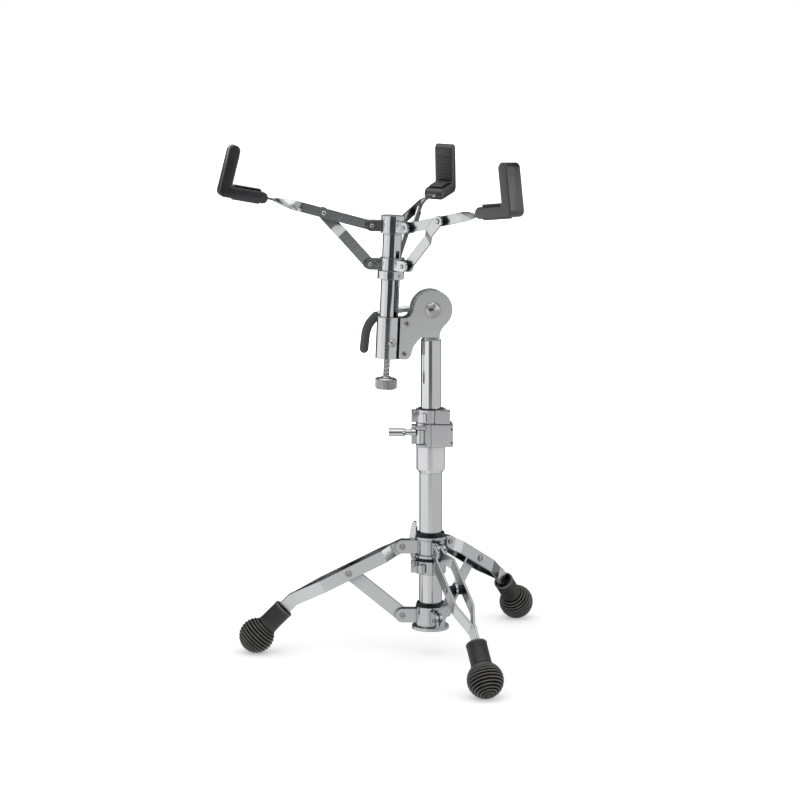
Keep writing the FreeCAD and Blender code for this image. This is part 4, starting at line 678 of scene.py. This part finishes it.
class STAND_OT_finishes(bpy.types.Operator):
    """Build the finishes and put them on the plated and nylon pieces."""
    bl_idname = "drumstand.finishes"
    bl_label = "Finishes"
    slot_looks = {
        "chrome_tube": "bright_chrome", "chrome_cast": "cast_chrome", "chrome_plate": "strip_chrome",
        "steel_core": "core_steel", "steel_hardware": "nickel_screw", "steel_knob": "satin_steel",
        "black_nylon": "bush_nylon", "black_rubber": "pad_rubber",
    }
    node_looks = {
        "tilter_plate_front": "plate_chrome", "tilter_plate_back": "plate_chrome",
        "clamp_body": "clamp_chrome", "clamp_jaw": "clamp_chrome", "height_lock": "clamp_chrome",
        "upper_hub": "hub_chrome", "lower_hub": "hub_chrome", "tripod_lock": "hub_chrome",
        "clamp_pins": "bright_chrome",
    }

    def execute(self, context):
        tint = context.scene.stand_finish
        soft = context.scene.stand_rubber
        handling_group()
        grain_group()
        crevice_group()
        rim_group()
        crest_highlight_group()
        metal("bright_chrome", tint.chrome, base=0.02, spread=0.05, scale=14.0, edge=0.4 * MM)
        cast = {"base": 0.07, "spread": 0.14, "scale": 22.0, "edge": 0.8 * MM, "peel": 0.12}
        metal("cast_chrome", tint.chrome, **cast)
        metal("hub_chrome", tint.hub, **cast)
        metal("clamp_chrome", tint.clamp, base=0.14, spread=0.14, scale=22.0, edge=1.2 * MM,
              peel=0.1, metallic=0.75)
        metal("strip_chrome", tint.strip, base=0.17, spread=0.08, scale=18.0, edge=0.6 * MM, reach=20 * MM)
        metal("plate_chrome", tint.plate, base=0.18, spread=0.16, scale=12.0, edge=0.5 * MM)
        metal("nickel_screw", tint.nickel, base=0.16, spread=0.20, scale=60.0, edge=0.8 * MM)
        # The toothed core is pale and mostly diffuse: a painted sheen in place of a mirrored one
        metal("core_steel", tint.plate, base=0.30, spread=0.16, scale=40.0, edge=0.3 * MM,
              metallic=0.15, rim=-0.1)
        metal("satin_steel", tint.satin, base=0.16, spread=0.16, scale=50.0, edge=0.3 * MM, rim=-0.2)
        moulding("pad_rubber", soft.rubber, base=0.24, pebble=2400.0, strength=0.3, lift=1.6, sheen=0.8,
                 gloss=0.7)
        moulding("grip_rubber", soft.grip_rubber, base=0.34, pebble=2400.0, strength=0.2, lift=1.2, sheen=0.4)
        # The feet carry the strongest painted highlight, on the crests of their rings
        moulding("foot_rubber", soft.foot_rubber, base=0.40, pebble=1500.0, strength=0.4, lift=1.7, sheen=0.5,
                 painted_highlight=3.6)
        moulding("bush_nylon", tint.nylon, base=0.2, pebble=3000.0, strength=0.12, lift=1.4, sheen=0.25,
                 painted_highlight=0.5)
        for part in frame["record"]["subparts"]:
            name = self.node_looks.get(part["node"], self.slot_looks[part["material_slot"]])
            for place in frame["nodes"][part["node"]].material_slots:
                place.material = finish_of(name)
        return {"FINISHED"}


class STAND_OT_pads(bpy.types.Operator):
    """Mould the three rubber pads of the basket."""
    bl_idname = "drumstand.pads"
    bl_label = "Basket pads"
    # Width left free beside the seat and beside the ribs
    seat_margin = 8 * MM
    rib_margin = 6 * MM
    # How deep the seat's foot and the ribs' centres lie in the rubber, and the rounding of the seat
    seat_sink = 1 * MM
    rib_sink = 0.35 * MM
    seat_edge = 0.8 * MM
    # Centres of the treads above the limb's upper face and above its lower face
    upper_tread = 1.3 * MM
    lower_tread = 0.1 * MM

    def execute(self, context):
        s = context.scene.stand_rubber
        half = s.pad_thickness / 2
        limb = Vector((-math.cos(s.pad_limb_angle), -math.sin(s.pad_limb_angle)))
        upright = Vector((-math.sin(s.pad_lean), math.cos(s.pad_lean)))
        limb_up = Vector((limb.y, -limb.x))
        inward = Vector((-upright.y, upright.x))
        limb_tip = limb * s.pad_limb
        top_tip = upright * s.pad_upright
        rise = math.degrees(s.pad_limb_angle)
        lean = math.degrees(s.pad_lean)
        offset = inward * half - limb_up * half
        along = (offset.x * upright.y - offset.y * upright.x) / (limb.x * upright.y - limb.y * upright.x)
        inner = limb_up * half + limb * along
        points = arc(limb_tip, half, 270 + rise, 90 + rise, 14)
        points += arc(inner + (limb + upright) * s.pad_fillet, s.pad_fillet, 270 + rise, 360 + lean, 4)
        points += arc(top_tip, half, 180 + lean, lean, 14)
        points += arc((0, 0), half, lean, rise - 90, 8)
        seat_width = s.pad_width - self.seat_margin
        seat_foot = half - self.seat_sink
        seat_top = half + s.seat_rise
        seat_points = [(-s.seat_start, seat_foot), (-s.seat_start, seat_top), (-s.seat_end, seat_top),
                       (-s.seat_end, seat_foot)]
        rib_level = self.rib_sink - half
        tread_levels = (half + self.upper_tread, self.lower_tread - half)
        leaning = turn(-s.pad_lean, "Y")
        lying = turn(-s.pad_limb_angle, "Y")
        across = lying @ turn(math.pi / -2, "Y")
        ribs = rib_tree()
        for arm in ARM_AZIMUTH:
            body = prism(points, s.pad_width, s.pad_edge)
            grip = grown(ribs, {"Count": s.rib_count, "Pitch": s.rib_pitch, "Radius": s.rib_radius,
                                "Length": s.pad_width - self.rib_margin})
            grip.transform(leaning @ shift(rib_level, 0, s.rib_start))
            seat = prism(seat_points, seat_width, self.seat_edge)
            seat.transform(lying)
            parts = [body, grip, seat]
            for level in tread_levels:
                tread = grown(ribs, {"Count": s.tread_count, "Pitch": s.tread_pitch,
                                     "Radius": s.tread_radius, "Length": seat_width})
                tread.transform(across @ shift(level, 0, s.seat_start))
                parts.append(tread)
            whole = joined(parts)
            whole.transform(arm_place(arm) @ shift(s.pad_radius, 0, s.pad_height))
            smooth_by_angle(whole, 40)
            piece("pad_" + arm, whole, "pad_rubber", "arm_" + arm, ["arm_%s_pad" % arm])
        return {"FINISHED"}


class STAND_OT_feet(bpy.types.Operator):
    """Turn the three ringed rubber feet."""
    bl_idname = "drumstand.feet"
    bl_label = "Feet"
    # Millimetres along the foot and out from the sleeve's radius: lip from the mouth, waist from the ball
    lip = ((6.0, -2.6), (0.6, -2.2), (0.1, -1.6), (0.1, -0.9), (0.5, -0.2), (1.2, 0.1), (2.4, 0.1),
           (3.2, -0.1), (4.2, -0.25))
    waist = ((-9.0, -0.25), (-3.0, 0.0), (-1.2, 0.3))
    # How far the ball's neck stands out from the sleeve
    neck_step = 0.2 * MM
    ring_steps = 8
    ring_sharpness = 1.4

    def execute(self, context):
        s = context.scene.stand_rubber
        mouth = s.foot_sleeve
        reach = s.foot_reach
        meet = math.acos((mouth + self.neck_step) / s.foot_ball)
        neck = reach - s.foot_ball * math.sin(meet)
        profile = [(s.foot_start + self.lip[0][0] * MM, 0)]
        for start, table in ((s.foot_start, self.lip), (neck, self.waist)):
            profile += [(start + along * MM, mouth + out * MM) for along, out in table]
        first = math.pi / 2 + meet
        steps = s.foot_rings * self.ring_steps
        for i in range(steps + 1):
            angle = first * (1 - i / steps)
            wave = abs(math.sin(math.pi * s.foot_rings * i / steps)) ** self.ring_sharpness
            radius = s.foot_ball - s.ring_depth * (1 - wave)
            profile.append((reach + radius * math.cos(angle), max(radius * math.sin(angle), 0.0)))
        profile[-1] = (profile[-1][0], 0.0)
        for leg in LEG_AZIMUTH:
            foot = lathe(profile, 72)
            foot.transform(foot_place(leg))
            for vertex in foot.vertices:
                vertex.co.z = max(vertex.co.z, 0.0)
            smooth_by_angle(foot, 70)
            piece("foot_" + leg, foot, "foot_rubber", "leg_" + leg, ["leg_%s_foot" % leg])
        return {"FINISHED"}


class STAND_OT_grip(bpy.types.Operator):
    """Dip the tilter lever's bent end in rubber."""
    bl_idname = "drumstand.grip"
    bl_label = "Lever grip"
    # Thickness of the rolled lip where the grip begins, as shares of its radius
    lip = (0.8, 0.98, 1.06, 1.07, 1.06, 1.04, 1.02)
    bend_steps = 24
    tip_steps = 8

    def execute(self, context):
        s = context.scene.stand_rubber
        path = []
        for i in range(self.bend_steps + 1):
            t = s.grip_start + (s.grip_sweep - s.grip_start) * i / self.bend_steps
            spot = Vector((-s.grip_reach - s.grip_bend * math.sin(t), s.grip_bend * (math.cos(t) - 1)))
            path.append((spot, self.lip[i] if i < len(self.lip) else 1.0))
        heading = Vector((-math.cos(s.grip_sweep), -math.sin(s.grip_sweep)))
        bend_end = path[-1][0]
        for share in (0.33, 0.66, 1.0):
            path.append((bend_end + heading * s.grip_fall * share, 1.0))
        tip = path[-1][0]
        for i in range(1, self.tip_steps):
            t = math.pi / 2 * i / self.tip_steps
            path.append((tip + heading * s.grip_radius * math.sin(t), math.cos(t)))
        curve = bpy.data.curves.new("grip_path", "CURVE")
        curve.dimensions = "3D"
        curve.bevel_depth = s.grip_radius
        curve.bevel_resolution = 8
        curve.use_fill_caps = True
        line = curve.splines.new("POLY")
        line.points.add(len(path) - 1)
        for point, (spot, thick) in zip(line.points, path):
            point.co = (spot.x, s.grip_side, spot.y, 1)
            point.radius = thick
        mesh = settled(link_object("grip_path", curve))
        mesh.transform(basket_place() @ turn(-s.grip_dip, "Y"))
        smooth_by_angle(mesh, 60)
        piece("lever_sleeve", mesh, "grip_rubber", "lever", ["lever_grip"])
        return {"FINISHED"}


class STAND_OT_screw(bpy.types.Operator):
    """Cut the basket screw's thread and knurl its knob."""
    bl_idname = "drumstand.screw"
    bl_label = "Basket screw"
    # Millimetres above the lower and upper face, and out from the knurl or, for the boss, from the axis
    lower_edge = ((0.0, -4.5), (0.3, -2.2), (1.6, -0.75))
    upper_edge = ((-1.4, -0.75), (-0.2, -1.9), (0.0, -3.0))
    boss = ((0.0, 7.0), (0.4, 6.4), (1.9, 5.2), (1.9, 0.0))
    knurl_ridge = 0.7 * MM
    knurl_inset = 0.72 * MM
    knurl_margin = 3.6 * MM
    knurl_lift = 0.1 * MM

    def execute(self, context):
        s = context.scene.stand_screw
        length = s.rod_high - s.rod_low
        root = s.rod_radius - s.thread_depth
        thread = grown(thread_tree(), {"Core": root, "Ridge": s.thread_depth, "Winding": root,
                                       "Turns": length / s.pitch, "Length": length})
        thread.transform(axis_place() @ shift(0, 0, s.rod_low))
        smooth_by_angle(thread, 30)
        piece("rod_thread", thread, "satin_steel", "knob", ["basket_rod"])
        low = s.knob_top - s.knob_height
        face = s.knob_radius
        profile = [(low, 0)]
        for level, table in ((low, self.lower_edge), (s.knob_top, self.upper_edge)):
            profile += [(level + up * MM, face + out * MM) for up, out in table]
        profile += [(s.knob_top + up * MM, radius * MM) for up, radius in self.boss]
        knob = lathe(profile, 64)
        knob.transform(turn(-math.pi / 2, "Y"))
        ridges = grown(knurl_tree(), {"Count": s.knurl_count, "Radius": face - self.knurl_inset,
                                      "Ridge": self.knurl_ridge, "Height": s.knob_height - self.knurl_margin})
        ridges.transform(shift(0, 0, s.knob_top - s.knob_height / 2 + self.knurl_lift))
        whole = joined([knob, ridges])
        whole.transform(axis_place())
        smooth_by_angle(whole, 25)
        piece("knob_knurled", whole, "satin_steel", "knob", ["basket_knob"])
        return {"FINISHED"}


class STAND_OT_rivets(bpy.types.Operator):
    """Spin the dished heads of the pivots on the hubs and in the middle of the legs."""
    bl_idname = "drumstand.rivets"
    bl_label = "Rivet heads"
    # Shares of a head's height and radius, from its foot over the crown into the dish
    outline = ((0.0, 0.0), (0.0, 1.0), (0.45, 1.0), (0.8, 0.9), (1.0, 0.74), (1.0, 0.5), (0.77, 0.42),
               (0.77, 0.0))

    def heads(self, tree, radius, rise, side, places):
        """One mesh of the heads on both sides of each pivot."""
        profile = [(up * rise, out * radius) for up, out in self.outline]
        shape = lathe(profile, 40)
        head = link_object("head", shape)
        pairs = []
        for place in places:
            pair = grown(tree, {"Head": head, "Side": side})
            pair.transform(place)
            pairs.append(pair)
        bpy.data.objects.remove(head)
        bpy.data.meshes.remove(shape)
        return smooth_by_angle(joined(pairs), 30)

    def execute(self, context):
        layout = context.scene.stand_layout
        s = context.scene.stand_screw
        tree = rivet_tree()
        upper = [leg_place(leg) for leg in LEG_AZIMUTH]
        lower = [turn(math.radians(angle), "Z") @ shift(layout.hub_radius, 0, layout.lower_height)
                 for angle in LEG_AZIMUTH.values()]
        for name, places, side, body in (("hub_rivets", upper, layout.hub_side, "hub"),
                                         ("lower_rivets", lower, layout.lower_side, "base")):
            whole = self.heads(tree, s.rivet_head, s.rivet_rise, side, places)
            piece(name, whole, "nickel_screw", body)
        for leg in LEG_AZIMUTH:
            middle = leg_place(leg) @ shift(layout.leg_middle, 0, 0)
            whole = self.heads(tree, s.bolt_head, s.bolt_rise, layout.leg_side, [middle])
            piece("leg_rivets_" + leg, whole, "nickel_screw", "leg_" + leg)
        return {"FINISHED"}


class STAND_OT_stage(bpy.types.Operator):
    """Set the pale floor, the studio light and the camera."""
    bl_idname = "drumstand.stage"
    bl_label = "Stage"
    # Shaded sectors of the mirrored floor: two directions and softness in degrees, shade near and far
    shades = (
        (-36, 3, 5, 0.18, 0.85),
        (3, 128, 6, 0.30, 0.36),
        (126, 200, 5, 0.75, 0.9),
        (-200, -134, 5, 0.75, 0.9),
    )
    # Panels that show in the plating: name, two directions in degrees, distance, low and high edge in
    # metres, and brightness
    cards = (
        ("dark_front", -41, 16, 3.6, 0.0, 1.3, 0.05),
        ("grey_left", -75, -41, 3.6, 0.0, 1.3, 0.72),
        ("left_bank", -75, 24, 3.6, 1.5, 3.8, 0.45),
        ("dark_back", 128, 226, 1.6, 0.0, 0.7, 0.07),
    )
    # Lamps: name, place and width in metres, and power in watts
    lamps = (
        ("top_softbox", (-0.6, -0.5, 2.8), 3.4, 17),
        ("side_softbox", (2.0, -1.4, 1.6), 2.0, 8),
    )
    lamp_aim = (0, 0, 0.3)
    # Room that the plating mirrors: height of the direction and colour there
    dome_stops = (
        (0.2, (0.84, 0.84, 0.85)),
        (0.27, (0.06, 0.06, 0.065)),
        (0.68, (0.06, 0.06, 0.06)),
        (0.78, (0.62, 0.62, 0.62)),
    )
    floor_radius = 14.0
    camera_place = (-0.6748, -3.1320, 0.8401)
    camera_turn = (80.793, 0.0, -11.479)
    camera_lens = 118.44

    def falloff(self, nodes, link, value, near, far, start=0.0, end=1.0):
        """Smooth change from start to end while the value goes from near to far."""
        ramp = nodes.new("ShaderNodeMapRange")
        ramp.interpolation_type = "SMOOTHSTEP"
        ramp.inputs["From Min"].default_value = near
        ramp.inputs["From Max"].default_value = far
        ramp.inputs["To Min"].default_value = start
        ramp.inputs["To Max"].default_value = end
        link(value, ramp.inputs["Value"])
        return ramp.outputs["Result"]

    def sector(self, nodes, link, angle, start, end, soft):
        """Soft-edged share of the floor between two directions about the stand, in degrees."""
        inside = maths(nodes, "SUBTRACT")
        for place, edge in enumerate((start, end)):
            side = self.falloff(nodes, link, angle, math.radians(edge - soft), math.radians(edge + soft))
            link(side, inside.inputs[place])
        return inside.outputs[0]

    def plain_view(self, nodes, link, paths):
        """One for rays that see the background straight or through something clear."""
        seen = maths(nodes, "MAXIMUM")
        link(paths.outputs["Is Camera Ray"], seen.inputs[0])
        link(paths.outputs["Is Transmission Ray"], seen.inputs[1])
        return seen.outputs[0]

    def mirrored_floor(self, nodes, link, place, away):
        """Brightness of the floor as the plating mirrors it."""
        split = nodes.new("ShaderNodeSeparateXYZ")
        back = maths(nodes, "MULTIPLY", -1.0)
        angle = maths(nodes, "ARCTAN2")
        link(place, split.inputs["Vector"])
        link(split.outputs["Y"], back.inputs[0])
        link(split.outputs["X"], angle.inputs[0])
        link(back.outputs[0], angle.inputs[1])
        level = self.falloff(nodes, link, away, 0.5, 2.6, 0.75, 0.90)
        for start, end, soft, near, far in self.shades:
            shade = maths(nodes, "MULTIPLY_ADD", third=1.0)
            link(self.sector(nodes, link, angle.outputs[0], start, end, soft), shade.inputs[0])
            link(self.falloff(nodes, link, away, 0.45, 2.4, -near, -far), shade.inputs[1])
            darker = maths(nodes, "MULTIPLY")
            link(level, darker.inputs[0])
            link(shade.outputs[0], darker.inputs[1])
            level = darker.outputs[0]
        return level

    def floor(self):
        """Pale disc that keeps the stand's shadow and fades into the background."""
        work = bmesh.new()
        bmesh.ops.create_circle(work, cap_ends=True, radius=self.floor_radius, segments=96)
        mesh = bpy.data.meshes.new("floor")
        work.to_mesh(mesh)
        work.free()
        material, nodes, link, shader = new_material("pale_floor")
        shader.inputs["Base Color"].default_value = (0.82, 0.82, 0.82, 1)
        shader.inputs["Roughness"].default_value = 0.75
        shader.inputs["Specular IOR Level"].default_value = 0.1
        shader.inputs["Emission Color"].default_value = (1, 1, 1, 1)
        paths = nodes.new("ShaderNodeLightPath")
        place = nodes.new("ShaderNodeTexCoord").outputs["Object"]
        distance = nodes.new("ShaderNodeVectorMath")
        distance.operation = "LENGTH"
        link(place, distance.inputs[0])
        away = distance.outputs["Value"]
        glow = maths(nodes, "MULTIPLY")
        link(self.falloff(nodes, link, away, 0.35, 1.1, 0.34, 1.0), glow.inputs[0])
        link(self.plain_view(nodes, link, paths), glow.inputs[1])
        link(glow.outputs[0], shader.inputs["Emission Strength"])
        mirrored = nodes.new("ShaderNodeEmission")
        link(self.mirrored_floor(nodes, link, place, away), mirrored.inputs["Strength"])
        pick = nodes.new("ShaderNodeMixShader")
        link(paths.outputs["Is Glossy Ray"], pick.inputs["Fac"])
        link(shader.outputs[0], pick.inputs[1])
        link(mirrored.outputs[0], pick.inputs[2])
        link(pick.outputs[0], nodes["Material Output"].inputs["Surface"])
        mesh.materials.append(material)
        link_object("floor", mesh)

    def card(self, name, start, end, radius, low, high, value):
        """Curved panel around the stand that only shows in the plating."""
        work = bmesh.new()
        steps = 12
        rails = []
        for i in range(steps + 1):
            a = math.radians(start + (end - start) * i / steps)
            spot = (radius * math.sin(a), -radius * math.cos(a))
            rails.append([work.verts.new((*spot, z)) for z in (low, high)])
        for near, far in zip(rails, rails[1:]):
            work.faces.new([near[0], far[0], far[1], near[1]])
        mesh = bpy.data.meshes.new(name)
        work.to_mesh(mesh)
        work.free()
        material, nodes, link, shader = new_material(name)
        nodes.remove(shader)
        glow = nodes.new("ShaderNodeEmission")
        glow.inputs["Color"].default_value = (value, value, value * 1.02, 1)
        link(glow.outputs[0], nodes["Material Output"].inputs["Surface"])
        mesh.materials.append(material)
        item = link_object(name, mesh)
        item.visible_camera = False
        item.visible_diffuse = False
        item.visible_shadow = False
        item.visible_transmission = False

    def lamp(self, name, at, size, power):
        """Round softbox turned towards the stand."""
        light = bpy.data.lights.new(name, "AREA")
        light.shape = "DISK"
        light.size = size
        light.energy = power
        item = bpy.data.objects.new(name, light)
        item.location = at
        item.rotation_euler = (Vector(self.lamp_aim) - Vector(at)).to_track_quat("-Z", "Y").to_euler()
        bpy.context.scene.collection.objects.link(item)

    def room(self, scene):
        """White background, soft grey light, and the room that the plating mirrors."""
        world = bpy.data.worlds.new("studio")
        scene.world = world
        world.use_nodes = True
        nodes = world.node_tree.nodes
        link = world.node_tree.links.new
        paths = nodes.new("ShaderNodeLightPath")
        soft = nodes["Background"]
        soft.inputs["Color"].default_value = (0.78, 0.78, 0.79, 1)
        white = nodes.new("ShaderNodeBackground")
        white.inputs["Color"].default_value = (1, 1, 1, 1)
        shine = nodes.new("ShaderNodeBackground")
        place = nodes.new("ShaderNodeTexCoord")
        split = nodes.new("ShaderNodeSeparateXYZ")
        dome = nodes.new("ShaderNodeValToRGB")
        stops = list(dome.color_ramp.elements)
        for i, (height, tone) in enumerate(self.dome_stops):
            stop = stops[i] if i < len(stops) else dome.color_ramp.elements.new(height)
            stop.position = height
            stop.color = (*tone, 1)
        link(place.outputs["Generated"], split.inputs["Vector"])
        link(split.outputs["Z"], dome.inputs["Fac"])
        link(dome.outputs["Color"], shine.inputs["Color"])
        mirror = nodes.new("ShaderNodeMixShader")
        link(paths.outputs["Is Glossy Ray"], mirror.inputs["Fac"])
        link(soft.outputs[0], mirror.inputs[1])
        link(shine.outputs[0], mirror.inputs[2])
        pick = nodes.new("ShaderNodeMixShader")
        link(self.plain_view(nodes, link, paths), pick.inputs["Fac"])
        link(mirror.outputs[0], pick.inputs[1])
        link(white.outputs[0], pick.inputs[2])
        link(pick.outputs[0], nodes["World Output"].inputs["Surface"])

    def execute(self, context):
        scene = context.scene
        scene.view_settings.view_transform = "Standard"
        self.room(scene)
        self.floor()
        for card in self.cards:
            self.card(*card)
        for lamp in self.lamps:
            self.lamp(*lamp)
        lens = bpy.data.cameras.new("camera")
        lens.lens = self.camera_lens
        lens.sensor_width = 36.0
        lens.clip_end = 200.0
        camera = bpy.data.objects.new("camera", lens)
        camera.location = self.camera_place
        camera.rotation_euler = [math.radians(angle) for angle in self.camera_turn]
        scene.collection.objects.link(camera)
        scene.camera = camera
        return {"FINISHED"}


class STAND_PT_panel(bpy.types.Panel):
    """Steps that dress the stand."""
    bl_label = "Snare stand"
    bl_space_type = "VIEW_3D"
    bl_region_type = "UI"
    bl_category = "Snare stand"

    def draw(self, context):
        for step in STEPS:
            self.layout.operator(step.bl_idname)


STEPS = (STAND_OT_finishes, STAND_OT_stage, STAND_OT_pads, STAND_OT_feet, STAND_OT_grip, STAND_OT_screw,
         STAND_OT_rivets)
GROUPS = (("stand_layout", StandLayout), ("stand_rubber", RubberSizes), ("stand_screw", ScrewSizes),
          ("stand_finish", FinishColours))


def register():
    for name, group in GROUPS:
        bpy.utils.register_class(group)
        setattr(bpy.types.Scene, name, PointerProperty(type=group))
    for step in STEPS:
        bpy.utils.register_class(step)
    bpy.utils.register_class(STAND_PT_panel)


def unregister():
    bpy.utils.unregister_class(STAND_PT_panel)
    for step in reversed(STEPS):
        bpy.utils.unregister_class(step)
    for name, group in reversed(GROUPS):
        delattr(bpy.types.Scene, name)
        bpy.utils.unregister_class(group)


def main():
    register()
    bpy.ops.drumstand.finishes()
    bpy.ops.drumstand.stage()
    bpy.ops.drumstand.pads()
    bpy.ops.drumstand.feet()
    bpy.ops.drumstand.grip()
    bpy.ops.drumstand.screw()
    bpy.ops.drumstand.rivets()


if __name__ == "__main__":
    main()
